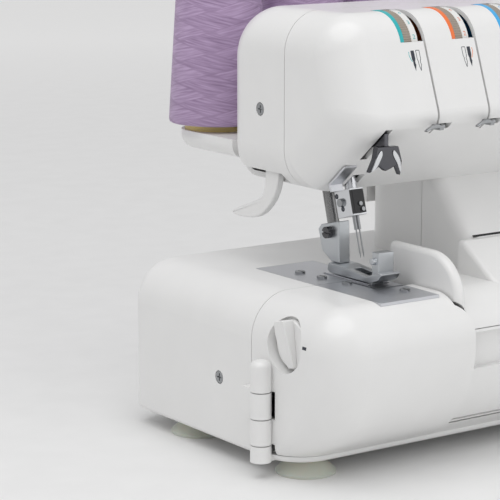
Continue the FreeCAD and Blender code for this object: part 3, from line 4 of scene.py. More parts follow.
import bmesh
import bpy
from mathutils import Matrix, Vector

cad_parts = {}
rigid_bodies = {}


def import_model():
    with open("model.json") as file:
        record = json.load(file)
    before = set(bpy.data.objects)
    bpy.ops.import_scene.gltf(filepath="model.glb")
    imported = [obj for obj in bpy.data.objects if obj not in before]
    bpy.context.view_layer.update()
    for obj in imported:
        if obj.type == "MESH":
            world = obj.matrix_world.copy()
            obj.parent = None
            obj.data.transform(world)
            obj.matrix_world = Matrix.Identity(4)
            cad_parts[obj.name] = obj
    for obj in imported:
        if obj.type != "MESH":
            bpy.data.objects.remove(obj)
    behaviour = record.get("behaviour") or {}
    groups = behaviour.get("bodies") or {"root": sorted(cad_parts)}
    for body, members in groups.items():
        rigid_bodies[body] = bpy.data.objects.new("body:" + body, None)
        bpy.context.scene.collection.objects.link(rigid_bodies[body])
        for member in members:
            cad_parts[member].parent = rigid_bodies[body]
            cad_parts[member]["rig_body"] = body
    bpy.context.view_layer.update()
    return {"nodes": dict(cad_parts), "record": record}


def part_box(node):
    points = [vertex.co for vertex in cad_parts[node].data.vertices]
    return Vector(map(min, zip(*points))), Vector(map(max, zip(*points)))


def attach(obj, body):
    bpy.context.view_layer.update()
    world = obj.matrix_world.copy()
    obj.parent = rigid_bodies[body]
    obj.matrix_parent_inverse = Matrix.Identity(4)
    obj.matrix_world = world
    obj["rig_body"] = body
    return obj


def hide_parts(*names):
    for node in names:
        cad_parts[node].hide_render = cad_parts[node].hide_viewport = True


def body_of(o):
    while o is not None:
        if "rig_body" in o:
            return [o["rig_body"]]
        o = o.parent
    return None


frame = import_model()
nodes = frame["nodes"]

# Places are millimetres from the plate's front left corner, at floor level, unless a line says metres.
MM = 0.001
DATUM = Vector((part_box("needle_plate")[0].x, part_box("cloth_plate")[0].y, 0.0))
SMOOTH_ANGLE = math.radians(32)
EDGE_ANGLE = math.radians(40)
FLAT_ANGLE = math.radians(0.5)
WELD_REACH = 0.000002  # metres


def at(x, y, z):
    """Point in the frame from millimetres."""
    return DATUM + Vector((x, y, z)) * MM


# Materials
COAT_ROUGH = 0.12
ROUGH_LEAST = 0.02
CLOUD_SCALE = 38.0
CLOUD_TINTS = (0.97, 1.03)
RELIEF_DEPTH = 0.0001  # metres
SCRATCH_STRENGTH = 0.12
SCRATCH_DEPTH = 0.0002  # metres


def tinted(color, share):
    """Colour made lighter or darker by a share."""
    return tuple(min(part * share, 1.0) for part in color)


def noise_node(tree, scale, detail=2.0):
    """Noise that stays with the piece."""
    coords = tree.nodes.new("ShaderNodeTexCoord")
    noise = tree.nodes.new("ShaderNodeTexNoise")
    noise.inputs["Scale"].default_value = scale
    noise.inputs["Detail"].default_value = detail
    tree.links.new(coords.outputs["Object"], noise.inputs["Vector"])
    return noise.outputs["Fac"]


def add_bump(tree, height, strength, distance):
    """Surface relief from a height."""
    bump = tree.nodes.new("ShaderNodeBump")
    bump.inputs["Strength"].default_value = strength
    bump.inputs["Distance"].default_value = distance
    tree.links.new(height, bump.inputs["Height"])
    tree.links.new(bump.outputs["Normal"], tree.nodes["Principled BSDF"].inputs["Normal"])


def blend_colors(tree, factor, first, second):
    """Base colour that runs between two colours."""
    mix = tree.nodes.new("ShaderNodeMix")
    mix.data_type = "RGBA"
    mix.inputs["A"].default_value = (*first, 1)
    mix.inputs["B"].default_value = (*second, 1)
    tree.links.new(factor, mix.inputs["Factor"])
    tree.links.new(mix.outputs["Result"], tree.nodes["Principled BSDF"].inputs["Base Color"])


def shader(name, color, rough, metal=0.0, coat=0.0, grain=0.04, grain_scale=900.0, relief=0.0, **more):
    """Surface with a fine grain in its roughness, faint cloudiness in its colour and optional relief."""
    mat = bpy.data.materials.new(name)
    mat.use_nodes = True
    tree = mat.node_tree
    bsdf = tree.nodes["Principled BSDF"]
    bsdf.inputs["Metallic"].default_value = metal
    bsdf.inputs["Coat Weight"].default_value = coat
    bsdf.inputs["Coat Roughness"].default_value = COAT_ROUGH
    for key, value in more.items():
        bsdf.inputs[key.replace("_", " ")].default_value = value
    fine = noise_node(tree, grain_scale)
    spread = tree.nodes.new("ShaderNodeMapRange")
    spread.inputs["To Min"].default_value = max(rough - grain, ROUGH_LEAST)
    spread.inputs["To Max"].default_value = rough + grain
    tree.links.new(fine, spread.inputs["Value"])
    tree.links.new(spread.outputs["Result"], bsdf.inputs["Roughness"])
    shades = [tinted(color, share) for share in CLOUD_TINTS]
    blend_colors(tree, noise_node(tree, CLOUD_SCALE), *shades)
    if relief:
        add_bump(tree, fine, relief, RELIEF_DEPTH)
    return mat


def brushed(name, color, rough, stretch):
    """Metal with fine scratches along one direction."""
    mat = shader(name, color, rough, metal=1.0)
    tree = mat.node_tree
    coords = tree.nodes.new("ShaderNodeTexCoord")
    scale = tree.nodes.new("ShaderNodeMapping")
    scale.inputs["Scale"].default_value = stretch
    tree.links.new(coords.outputs["Object"], scale.inputs["Vector"])
    noise = tree.nodes.new("ShaderNodeTexNoise")
    noise.inputs["Scale"].default_value = 1.0
    noise.inputs["Detail"].default_value = 3.0
    tree.links.new(scale.outputs["Vector"], noise.inputs["Vector"])
    add_bump(tree, noise.outputs["Fac"], SCRATCH_STRENGTH, SCRATCH_DEPTH)
    return mat


def math_node(tree, operation, first, second=None):
    """Maths on a link or a number."""
    made = tree.nodes.new("ShaderNodeMath")
    made.operation = operation
    for index, value in enumerate((first, second)):
        if value is None:
            continue
        if isinstance(value, (int, float)):
            made.inputs[index].default_value = value
        else:
            tree.links.new(value, made.inputs[index])
    return made.outputs["Value"]


# Wound thread, in metres up the cone and radians around it
STREAK_AROUND = 1.8
STREAK_UP = 950.0
STREAK_DETAIL = 1.5
THREAD_CLIMB = 0.006
BAND_UP = 250.0
BAND_AROUND = 2.0
BAND_BLEND = 0.1
WEAVE_CONTRAST = 2.0
WEAVE_SHIFT = -0.56
# Painted sheen that lightens the bands of one winding direction, and painted shade along the band edges
BAND_PAINTED_SHEEN = 0.2
BAND_EDGE_FADE = 5.0
BAND_EDGE_PAINTED_SHADE = 0.5
THREAD_ROUGH = 0.6
THREAD_SHEEN = 0.1
THREAD_GRAIN = 2500.0
THREAD_RELIEF = (0.6, 0.0004)


def streaks(tree, height, angle, climb_rate):
    """Fine streaks that climb round a cone."""
    climb = math_node(tree, "ADD", height, math_node(tree, "MULTIPLY", angle, climb_rate))
    join = tree.nodes.new("ShaderNodeCombineXYZ")
    tree.links.new(math_node(tree, "MULTIPLY", angle, STREAK_AROUND), join.inputs["X"])
    tree.links.new(math_node(tree, "MULTIPLY", climb, STREAK_UP), join.inputs["Y"])
    noise = tree.nodes.new("ShaderNodeTexNoise")
    noise.inputs["Scale"].default_value = 1.0
    noise.inputs["Detail"].default_value = STREAK_DETAIL
    tree.links.new(join.outputs["Vector"], noise.inputs["Vector"])
    return noise.outputs["Fac"]


def wound(name, color, dark):
    """Thread laid round a cone in two crossing directions that show in leaf shaped bands, with painted sheen
    lightening one direction and painted shade darkening the band edges.
    """
    mat = shader(name, color, THREAD_ROUGH, grain_scale=THREAD_GRAIN, Sheen_Weight=THREAD_SHEEN)
    tree = mat.node_tree
    coords = tree.nodes.new("ShaderNodeTexCoord")
    split = tree.nodes.new("ShaderNodeSeparateXYZ")
    tree.links.new(coords.outputs["Object"], split.inputs["Vector"])
    height = split.outputs["Z"]
    left = math_node(tree, "MULTIPLY", split.outputs["X"], -1.0)
    angle = math_node(tree, "ARCTAN2", split.outputs["Y"], left)
    rise = math_node(tree, "MULTIPLY", height, BAND_UP)
    sweep = math_node(tree, "MULTIPLY", angle, BAND_AROUND)
    band = math_node(tree, "SINE", math_node(tree, "ADD", rise, sweep))
    back_band = math_node(tree, "SINE", math_node(tree, "SUBTRACT", rise, sweep))
    patch = tree.nodes.new("ShaderNodeMapRange")
    patch.inputs["From Min"].default_value = -BAND_BLEND
    patch.inputs["From Max"].default_value = BAND_BLEND
    crossing = math_node(tree, "MULTIPLY", band, back_band)
    tree.links.new(crossing, patch.inputs["Value"])
    share = patch.outputs["Result"]
    first = math_node(tree, "MULTIPLY", streaks(tree, height, angle, THREAD_CLIMB), share)
    rest = math_node(tree, "SUBTRACT", 1.0, share)
    second = math_node(tree, "MULTIPLY", streaks(tree, height, angle, -THREAD_CLIMB), rest)
    weave = math_node(tree, "ADD", first, second)
    tone = math_node(tree, "ADD", math_node(tree, "MULTIPLY", weave, WEAVE_CONTRAST), WEAVE_SHIFT)
    # Painted sheen on the bands of one winding direction
    tone = math_node(tree, "ADD", tone, math_node(tree, "MULTIPLY", share, BAND_PAINTED_SHEEN))
    # Painted shade darkening the band edges
    edge = math_node(tree, "MULTIPLY", math_node(tree, "ABSOLUTE", crossing), BAND_EDGE_FADE)
    shade = math_node(tree, "MINIMUM", math_node(tree, "ADD", edge, BAND_EDGE_PAINTED_SHADE), 1.0)
    tone = math_node(tree, "MULTIPLY", tone, shade)
    blend_colors(tree, tone, dark, color)
    add_bump(tree, weave, *THREAD_RELIEF)
    return mat


WHITE = shader("white_shell", (0.84, 0.838, 0.83), 0.3, coat=0.18, relief=0.04, grain_scale=1400.0)
PANEL_WHITE = shader("ring_white", (0.80, 0.80, 0.78), 0.4)
FOOT_SOFT = shader("foot_soft", (0.60, 0.58, 0.50), 0.45, Subsurface_Weight=0.2)
STEEL = brushed("ground_steel", (0.66, 0.67, 0.70), 0.34, (60.0, 3000.0, 900.0))
PLATED = brushed("plated_steel", (0.52, 0.54, 0.56), 0.3, (900.0, 400.0, 3000.0))
CHROME = shader("polished", (0.66, 0.67, 0.69), 0.13, metal=1.0)
BAR_STEEL = brushed("bar_steel", (0.27, 0.27, 0.27), 0.26, (3000.0, 3000.0, 40.0))
SCREW_STEEL = shader("screw_steel", (0.34, 0.35, 0.36), 0.3, metal=1.0)
SCREW_DARK = shader("screw_dark", (0.10, 0.10, 0.105), 0.28, metal=1.0)
# Satin black of the dark parts, also used for the strip of painted shade in the column seam
DARK = shader("black_satin_and_seam_shade", (0.012, 0.012, 0.014), 0.38)
DARK_CHROME = shader("black_chrome", (0.11, 0.11, 0.12), 0.16, metal=1.0)
ALLOY = shader("cast_alloy", (0.45, 0.46, 0.48), 0.5, metal=1.0)
BRONZE = shader("bronze", (0.5, 0.33, 0.14), 0.4, metal=1.0)
ENAMEL = shader("motor_black", (0.03, 0.03, 0.033), 0.35)
RUBBER = shader("belt_black", (0.02, 0.02, 0.02), 0.65)
CORE = shader("core_yellow", (0.72, 0.58, 0.20), 0.35)
TAUPE = shader("grip_taupe", (0.36, 0.31, 0.26), 0.5)
# Dark ink of the printed signs and the index mark, also used for the painted shade in the clamp's holes
INK_AND_HOLE_SHADE = shader("print_ink_and_hole_shade", (0.03, 0.035, 0.05), 0.5)
THREAD = wound("lilac_thread", (0.52, 0.38, 0.58), (0.29, 0.195, 0.33))
DIAL_COLORS = {1: (0.02, 0.45, 0.48), 2: (0.88, 0.19, 0.045), 3: (0.06, 0.42, 0.80), 4: (0.42, 0.55, 0.06)}
DIAL_PAINT = {mark: shader("dial_color_%d" % mark, color, 0.32) for mark, color in DIAL_COLORS.items()}
SLOT_SHADERS = {
    "shell": WHITE, "feet": FOOT_SOFT, "steel": STEEL, "bright": CHROME, "dark": DARK, "frame": ALLOY,
    "bronze": BRONZE, "motor": ENAMEL, "belt": RUBBER, "pin": PANEL_WHITE, "core": CORE, "thread": THREAD,
    "dial_teal": DIAL_PAINT[1], "dial_orange": DIAL_PAINT[2],
    "dial_blue": DIAL_PAINT[3], "dial_green": DIAL_PAINT[4],
}
NODE_SHADERS = {
    "presser_bar": BAR_STEEL, "foot_ankle": PLATED, "presser_foot": PLATED, "foot_screw": SCREW_DARK,
    "casing_screws": SCREW_STEEL, "needle_plate_screws": SCREW_STEEL, "cloth_plate_screws": SCREW_STEEL,
    "take_up": DARK_CHROME, "clamp_screws": SCREW_STEEL, "bar_thread_guide": STEEL,
    "needles": SCREW_STEEL,
}
NODE_SLOTS = {entry["node"]: entry["material_slot"] for entry in frame["record"]["subparts"]}


def node_shader(node):
    """Surface of a CAD node."""
    return NODE_SHADERS.get(node) or SLOT_SHADERS[NODE_SLOTS[node]]


def dress_frame():
    """Give every CAD node its surface and soft shading across gentle edges."""
    for node in NODE_SLOTS:
        data = nodes[node].data
        data.materials.clear()
        data.materials.append(node_shader(node))
        data.polygons.foreach_set("use_smooth", [True] * len(data.polygons))
        data.set_sharp_from_angle(angle=SMOOTH_ANGLE)


# Mesh helpers
def finish_piece(data, name, mat, body, origin=None):
    """Link a mesh as a piece that rides on a body."""
    data.polygons.foreach_set("use_smooth", [True] * len(data.polygons))
    data.set_sharp_from_angle(angle=SMOOTH_ANGLE)
    data.materials.clear()
    data.materials.append(mat)
    obj = bpy.data.objects.new(name, data)
    bpy.context.scene.collection.objects.link(obj)
    if origin is not None:
        obj.location = origin
    if body:
        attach(obj, body)
    return obj


def mesh_object(name, verts, faces, mat, body, origin=None):
    """New piece from points and faces."""
    data = bpy.data.meshes.new(name)
    data.from_pydata([tuple(v) for v in verts], [], faces)
    return finish_piece(data, name, mat, body, origin)


def round_edges(obj, width, segments=3):
    """Rounding on the sharp edges of a piece."""
    bevel = obj.modifiers.new("rounding", "BEVEL")
    bevel.width = width * MM
    bevel.segments = segments
    bevel.limit_method = "ANGLE"
    bevel.angle_limit = EDGE_ANGLE
    bevel.use_clamp_overlap = False
    bevel.harden_normals = True
    return obj


def lathe(name, profile, axis, origin, segments, mat, body, ridge=0.0):
    """Closed ring turned about X or Z. Profile holds distance along the axis and radius, in mm."""
    verts = []
    for along, radius in profile:
        for step in range(segments):
            turn = 2 * math.pi * step / segments
            reach = radius - (ridge if step % 2 else 0.0)
            side = (reach * math.cos(turn), reach * math.sin(turn))
            spot = (along, side[0], side[1]) if axis == "X" else (side[0], side[1], along)
            verts.append(Vector(spot) * MM)
    faces = []
    count = len(profile)
    for ring in range(count):
        after = (ring + 1) % count
        for step in range(segments):
            beside = (step + 1) % segments
            near_edge = (ring * segments + step, ring * segments + beside)
            far_edge = (after * segments + beside, after * segments + step)
            faces.append(near_edge + far_edge)
    return mesh_object(name, verts, faces, mat, body, origin)


def prism(rim_low, rim_high):
    """Points and faces of a solid between two matching rims."""
    count = len(rim_low)
    faces = [tuple(reversed(range(count))), tuple(range(count, 2 * count))]
    for step in range(count):
        after = (step + 1) % count
        faces.append((step, after, count + after, count + step))
    return list(rim_low) + list(rim_high), faces


def smooth_loop(points, steps):
    """Closed curve through points, each pair joined by a few steps."""
    curve = []
    count = len(points)
    for index in range(count):
        a, b, c, d = (Vector(points[(index + shift) % count]) for shift in (-1, 0, 1, 2))
        for step in range(steps):
            t = step / steps
            bend = (2 * a - 5 * b + 4 * c - d) * t * t + (3 * b - a - 3 * c + d) * t ** 3
            curve.append((2 * b + (c - a) * t + bend) / 2)
    return curve


def soften(node, width):
    """Stand-in for a CAD node with the same shape and rounded edges."""
    mesh = bmesh.new()
    mesh.from_mesh(nodes[node].data)
    bmesh.ops.remove_doubles(mesh, verts=mesh.verts, dist=WELD_REACH)
    bmesh.ops.dissolve_limit(mesh, angle_limit=FLAT_ANGLE, verts=mesh.verts, edges=mesh.edges)
    data = bpy.data.meshes.new(node + "_soft")
    mesh.to_mesh(data)
    mesh.free()
    body = body_of(nodes[node])[0]
    obj = finish_piece(data, node + "_soft", node_shader(node), body)
    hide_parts(node)
    return round_edges(obj, width)


# Thread cones
CONE_FIRST = 27.0
CONE_PITCH = 62.0
CONE_ROW = 195.0
CONES = (1, 2, 3, 4)
CONE_STEPS = 128
WINDING = (
    (176.2, 19.1), (176.2, 29.3), (176.8, 30.3), (178.4, 30.6), (284.4, 24.1), (285.6, 23.4), (285.9, 11.9),
)


def make_cones():
    """Wound thread on each cone."""
    foot = WINDING[0][0]
    profile = [(z - foot, r) for z, r in WINDING]
    for mark in CONES:
        origin = at(CONE_FIRST + CONE_PITCH * (mark - 1), CONE_ROW, foot)
        lathe("winding_%d" % mark, profile, "Z", origin, CONE_STEPS, THREAD, "machine")
    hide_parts("thread_windings")


# Tension dials
DIAL_MARKS = (1, 2, 3, 4)
DIAL_PITCH = 37.0
DIAL_LEFT = 40.2
DIAL_BACK = 57.7
DIAL_AXIS = 230.4
RING_RADIUS = 21.4
FLANGE = ((0.0, 4.1), (0.0, 21.4), (0.6, 22.0), (3.1, 22.0), (3.4, 21.5), (3.4, 4.1))
GRIP = ((3.4, 4.1), (3.4, 21.4), (3.8, 21.7), (8.6, 21.7), (9.0, 21.4), (9.0, 4.1))
RING = ((9.0, 4.1), (9.0, RING_RADIUS), (13.3, RING_RADIUS), (13.5, 21.2), (13.5, 4.1))
RING_MIDDLE = 11.2
DIAL_STEPS = 128
KNURL_STEPS = 180
KNURL_DEPTH = 0.45
DIGIT_SIZE = 3.8
DIGIT_STEP = math.radians(25)
DIGIT_FRONT = math.radians(133)
DIGIT_FIRST_SHOWN = 3
DIGIT_COUNT = 10
DIGIT_LIFT = 0.06


def digit_mesh(text):
    """Outline of a digit as loose vertices and faces, centred on its place."""
    curve = bpy.data.curves.new("digit", "FONT")
    curve.body = text
    curve.size = DIGIT_SIZE
    curve.align_x = "CENTER"
    curve.align_y = "CENTER"
    holder = bpy.data.objects.new("digit", curve)
    bpy.context.scene.collection.objects.link(holder)
    shape = holder.evaluated_get(bpy.context.evaluated_depsgraph_get()).to_mesh()
    verts = [v.co.copy() for v in shape.vertices]
    faces = [tuple(p.vertices) for p in shape.polygons]
    holder.to_mesh_clear()
    bpy.data.objects.remove(holder)
    bpy.data.curves.remove(curve)
    return verts, faces


def make_digits(mark, centre):
    """Numbers wrapped round the white ring of a dial."""
    verts = []
    faces = []
    reach = RING_RADIUS + DIGIT_LIFT
    for digit in range(DIGIT_COUNT):
        flat, polygons = digit_mesh(str(digit))
        first = len(verts)
        middle = DIGIT_FRONT - DIGIT_STEP * (digit - DIGIT_FIRST_SHOWN)
        for point in flat:
            turn = middle - point.y / RING_RADIUS
            verts.append(Vector((point.x, reach * math.cos(turn), reach * math.sin(turn))) * MM)
        faces += [tuple(index + first for index in polygon) for polygon in polygons]
    name = "dial_digits_%d" % mark
    mesh_object(name, verts, faces, DIAL_PAINT[mark], "dial_%d" % mark, centre)


def make_dials():
    """Coloured flange, knurled grip and white number ring of each tension dial."""
    for mark in DIAL_MARKS:
        left = DIAL_LEFT + DIAL_PITCH * (mark - 1)
        body = "dial_%d" % mark
        origin = at(left, DIAL_BACK, DIAL_AXIS)
        piece = lathe("dial_flange_%d" % mark, FLANGE, "X", origin, DIAL_STEPS, DIAL_PAINT[mark], body)
        lathe("dial_grip_%d" % mark, GRIP, "X", origin, KNURL_STEPS, TAUPE, body, KNURL_DEPTH)
        lathe("dial_ring_%d" % mark, RING, "X", origin, DIAL_STEPS, PANEL_WHITE, body)
        make_digits(mark, at(left + RING_MIDDLE, DIAL_BACK, DIAL_AXIS))
        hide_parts("tension_dial_%d" % mark)


# Printed signs on the leaning panel
PANEL_FOOT = Vector((0.0, 20.0, 193.0))
PANEL_RISE = Vector((0.0, 21.0, 59.0)).normalized()
PANEL_OUT = Vector((0.0, -59.0, 21.0)).normalized()
SIGN_FOOT = 29.2
SIGN_LEFT = 46.7
SIGN_GAP = 3.7
NEEDLE_DIALS = (1, 2)
STROKE = 0.34
PRINT_LOW = -0.03
PRINT_HIGH = 0.05
NEEDLE_SIGN = (
    (-1.2, 11.6), (1.2, 11.6), (1.2, 6.6), (0.7, 5.4), (0.7, 4.4), (1.0, 3.4), (0.1, 0.0), (-0.7, 3.4),
    (-0.7, 4.4), (-0.7, 5.4), (-1.2, 6.6),
)
THREAD_SIGN = ((-2.5, 11.0), (-2.7, 9.0), (-2.0, 6.8), (-1.2, 5.2))
LOOPER_SIGN = (
    (-2.4, 1.0), (-2.6, 4.2), (-1.2, 7.6), (1.4, 9.6), (4.4, 10.2), (1.9, 8.4), (-0.2, 6.2), (-0.8, 1.0),
)


def panel_point(x, along, lift):
    """Point on or near the leaning panel."""
    spot = PANEL_FOOT + PANEL_RISE * along + PANEL_OUT * lift
    return at(x, spot.y, spot.z)


def print_area(name, outline, x, mat):
    """Filled print on the panel."""
    low = [panel_point(x + u, SIGN_FOOT + v, PRINT_LOW) for u, v in outline]
    high = [panel_point(x + u, SIGN_FOOT + v, PRINT_HIGH) for u, v in outline]
    verts, faces = prism(low, high)
    mesh_object(name, verts, faces, mat, "machine")


def print_line(name, points, x, mat, closed):
    """Printed line of even width on the panel."""
    verts = []
    faces = []
    pairs = list(zip(points, points[1:] + points[:1] if closed else points[1:]))
    for (u0, v0), (u1, v1) in pairs:
        length = math.hypot(u1 - u0, v1 - v0)
        across = (-(v1 - v0) / length * STROKE / 2, (u1 - u0) / length * STROKE / 2)
        corners = [(u0 + across[0], v0 + across[1]), (u0 - across[0], v0 - across[1]),
                   (u1 - across[0], v1 - across[1]), (u1 + across[0], v1 + across[1])]
        low = [panel_point(x + u, SIGN_FOOT + v, PRINT_LOW) for u, v in corners]
        high = [panel_point(x + u, SIGN_FOOT + v, PRINT_HIGH) for u, v in corners]
        block, block_faces = prism(low, high)
        faces += [tuple(index + len(verts) for index in face) for face in block_faces]
        verts += block
    mesh_object(name, verts, faces, mat, "machine")


def make_signs():
    """Needle signs under the first two dials and looper signs under the others."""
    for mark in DIAL_MARKS:
        left = SIGN_LEFT + DIAL_PITCH * (mark - 1)
        if mark in NEEDLE_DIALS:
            inked = left if mark == 1 else left + SIGN_GAP
            plain = left + SIGN_GAP if mark == 1 else left
            side = 1 if mark == 1 else -1
            print_area("needle_sign_%d" % mark, NEEDLE_SIGN, inked, INK_AND_HOLE_SHADE)
            print_line("needle_outline_%d" % mark, NEEDLE_SIGN, plain, INK_AND_HOLE_SHADE, True)
            tick = [(u * side, v) for u, v in THREAD_SIGN]
            print_line("thread_sign_%d" % mark, tuple(tick), inked, DIAL_PAINT[mark], False)
        else:
            print_area("looper_sign_%d" % mark, LOOPER_SIGN, left + SIGN_GAP / 2, INK_AND_HOLE_SHADE)
            print_line("thread_sign_%d" % mark, THREAD_SIGN, left, DIAL_PAINT[mark], False)


# Cutting width knob
KNOB_AXIS = (28.6, 77.0)
KNOB_DISC = (
    (0.0, 3.0), (0.0, 13.2), (-0.4, 13.6), (-2.8, 13.6), (-3.4, 13.0), (-3.4, 0.4), (6.0, 0.4), (6.0, 3.0),
)
KNOB_FLOOR = -35.8
KNOB_FACE = -39.0
KNOB_TILT = math.radians(9)
KNOB_TOP_REACH = -46.4
KNOB_FOOT_REACH = -41.6
KNOB_HALF = 13.0
KNOB_STEPS = 96
KNOB_ROUND = 0.7
KNOB_OUTLINE = (
    (-4.4, 14.0), (-4.4, 0.0), (-4.0, -12.6), (1.2, -13.0), (4.6, -7.6), (6.0, -1.0), (5.8, 6.6), (4.4, 13.4),
)
MARK_SPOT = (-43.5, 10.3, 79.0)
MARK_SIZE = (3.4, 1.7, 0.2)


def knob_point(across, up, x):
    """Point of the grip, turned a little about the knob's axis."""
    y = across * math.cos(KNOB_TILT) + up * math.sin(KNOB_TILT)
    z = up * math.cos(KNOB_TILT) - across * math.sin(KNOB_TILT)
    return at(x, KNOB_AXIS[0] + y, KNOB_AXIS[1] + z)


def make_knob():
    """Disc with a wedge shaped grip, and its index mark on the cover."""
    origin = at(KNOB_FLOOR, *KNOB_AXIS)
    disc = lathe("knob_disc", KNOB_DISC, "X", origin, KNOB_STEPS, WHITE, "width_knob")
    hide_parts("width_knob")
    slope = (KNOB_TOP_REACH - KNOB_FOOT_REACH) / (2 * KNOB_HALF)
    low = [knob_point(u, v, KNOB_FACE) for u, v in KNOB_OUTLINE]
    high = [knob_point(u, v, KNOB_FOOT_REACH + slope * (v + KNOB_HALF)) for u, v in KNOB_OUTLINE]
    verts, faces = prism(low, high)
    grip = mesh_object("knob_grip", verts, faces, WHITE, "width_knob")
    round_edges(grip, KNOB_ROUND)
    make_mark()


def make_mark():
    """Small dark index mark on the cover beside the knob."""
    spot, out = nodes["front_cover"].closest_point_on_mesh(at(*MARK_SPOT))[1:3]
    side = Vector((0, 0, 1)).cross(out).normalized()
    up = out.cross(side)
    half = [size * MM / 2 for size in MARK_SIZE]
    rim = [side * half[0] * a + up * half[1] * b for a, b in ((-1, -1), (1, -1), (1, 1), (-1, 1))]
    low = [spot + corner - out * half[2] for corner in rim]
    high = [spot + corner + out * half[2] for corner in rim]
    verts, faces = prism(low, high)
    mesh_object("knob_mark", verts, faces, INK_AND_HOLE_SHADE, "front_door")


# Presser foot lifter
LEVER_AXIS = (108.0, 176.0)
LEVER_SIDES = (3.0, 8.0)
LEVER_CURVE_STEPS = 5
LEVER_ROUND = 1.1
LEVER_OUTLINE = (
    (4.6, -6.0), (4.4, -18.0), (5.6, -29.0), (10.0, -34.6), (20.0, -38.8), (33.0, -43.6), (38.0, -46.2),
    (36.0, -48.2), (26.0, -48.2), (15.0, -46.8), (6.0, -42.4), (-2.6, -34.0), (-7.4, -24.0), (-8.4, -14.0),
    (-5.6, -5.0),
)


def make_lever():
    """Lever with a smoothly curved handle."""
    outline = smooth_loop(LEVER_OUTLINE, LEVER_CURVE_STEPS)
    rims = [[at(x, LEVER_AXIS[0] + p.x, LEVER_AXIS[1] + p.y) for p in outline] for x in LEVER_SIDES]
    verts, faces = prism(rims[1], rims[0])
    lever = mesh_object("lever_handle", verts, faces, WHITE, "lifter")
    round_edges(lever, LEVER_ROUND)
    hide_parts("lifter_lever")


# Thread hooks under the slots of the panel
HOOK_START = 10.6
HOOK_HEIGHT = 190.4
HOOK_DEPTH = (16.6, 19.0)
HOOK_ROUND = 0.4
TONGUE_ROUND = 0.3
HOOK_OUTLINE = (
    (-6.4, -1.6), (-3.2, 0.2), (-0.6, 1.2), (2.2, 1.4), (4.2, 0.4), (6.2, 1.0), (6.8, -0.4), (5.4, -1.4),
    (3.0, -1.0), (0.0, -0.8), (-3.4, -1.4), (-6.2, -2.4),
)
TONGUE_ACROSS = (13.4, 16.4)
TONGUE_DEPTH = (16.8, 34.4)
TONGUE_RISE = (188.2, 190.4)
PLATE_CURVE_STEPS = 3
FINE_STEPS = 2


def box_piece(name, spans, mat, body):
    """Box between three spans, in mm."""
    (x0, x1), (y0, y1), (z0, z1) = spans
    low = [at(x, y, z0) for x, y in ((x0, y0), (x1, y0), (x1, y1), (x0, y1))]
    high = [at(x, y, z1) for x, y in ((x0, y0), (x1, y0), (x1, y1), (x0, y1))]
    verts, faces = prism(low, high)
    return mesh_object(name, verts, faces, mat, body)


def front_plate(name, outline, centre, depth, mat, body, width):
    """Plate that faces the front, cut to a smooth outline."""
    curve = smooth_loop(outline, PLATE_CURVE_STEPS)
    rims = [[at(centre[0] + p.x, y, centre[1] + p.y) for p in curve] for y in depth]
    verts, faces = prism(rims[1], rims[0])
    return round_edges(mesh_object(name, verts, faces, mat, body), width, FINE_STEPS)


def make_hooks():
    """Bent hook on a tongue below each slot."""
    for mark in DIAL_MARKS:
        start = DIAL_LEFT + DIAL_PITCH * (mark - 1)
        centre = (start + HOOK_START, HOOK_HEIGHT)
        name = "hook_%d" % mark
        front_plate(name, HOOK_OUTLINE, centre, HOOK_DEPTH, SCREW_STEEL, "machine", HOOK_ROUND)
        across = tuple(start + edge for edge in TONGUE_ACROSS)
        spans = (across, TONGUE_DEPTH, TONGUE_RISE)
        tongue = box_piece("hook_tongue_%d" % mark, spans, SCREW_STEEL, "machine")
        round_edges(tongue, TONGUE_ROUND, FINE_STEPS)
        if mark == DIAL_MARKS[0]:
            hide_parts("thread_hooks")


# Stitching parts
SOFT_EDGES = {"foot_ankle": 0.7, "presser_foot": 0.5, "clamp_plate": 0.4, "needle_clamp": 0.4, "take_up": 0.6}
TAKE_UP_CENTRE = (0.0, 188.0)
TAKE_UP_FRONT = (23.9, 24.6)
BLADE_ROUND = 0.2
TAKE_UP_LEFT = (
    (18.4, -9.0), (15.6, -12.4), (13.6, -16.4), (11.8, -20.2), (15.4, -18.0), (17.8, -14.4), (19.2, -11.4),
)
TAKE_UP_RIGHT = (
    (27.2, -9.4), (30.2, -12.4), (32.0, -16.6), (32.2, -22.4), (29.8, -17.2), (28.0, -14.4), (26.6, -11.6),
)
CLAMP_SIDE = 26.0
HOLE_STEPS = 24
# Spots of the dark discs that paint the shade inside two holes of the needle clamp
CLAMP_HOLE_SHADES = ((74.1, 145.9), (68.1, 139.5))
HOLE_SHADE_PROFILE = ((-0.12, 0.3), (-0.12, 1.5), (0.2, 1.5), (0.2, 0.3))


def make_stitching_parts():
    """Metal pieces with worn edges, bright take-up blades and dark discs of painted shade in the clamp's
    holes.
    """
    for node, width in SOFT_EDGES.items():
        soften(node, width)
    for side, outline in (("left", TAKE_UP_LEFT), ("right", TAKE_UP_RIGHT)):
        name = "take_up_blade_" + side
        front_plate(name, outline, TAKE_UP_CENTRE, TAKE_UP_FRONT, CHROME, "take_up", BLADE_ROUND)
    # Painted shade: dark discs where the clamp's holes show only shade
    for index, spot in enumerate(CLAMP_HOLE_SHADES, 1):
        origin = at(CLAMP_SIDE, *spot)
        lathe("clamp_hole_shade_%d" % index, HOLE_SHADE_PROFILE, "X", origin, HOLE_STEPS, INK_AND_HOLE_SHADE, "needle_unit")


# Dark strip of painted shade in the seam gap across the foot of the column
SEAM_ENDS = (101.0, 244.0)
SEAM_FOOT = (40.0, 118.0)
SEAM_SPAN = (1.8, 3.2)
SEAM_LIFT = (-0.3, 0.1)
DIAGONAL = math.sqrt(0.5)


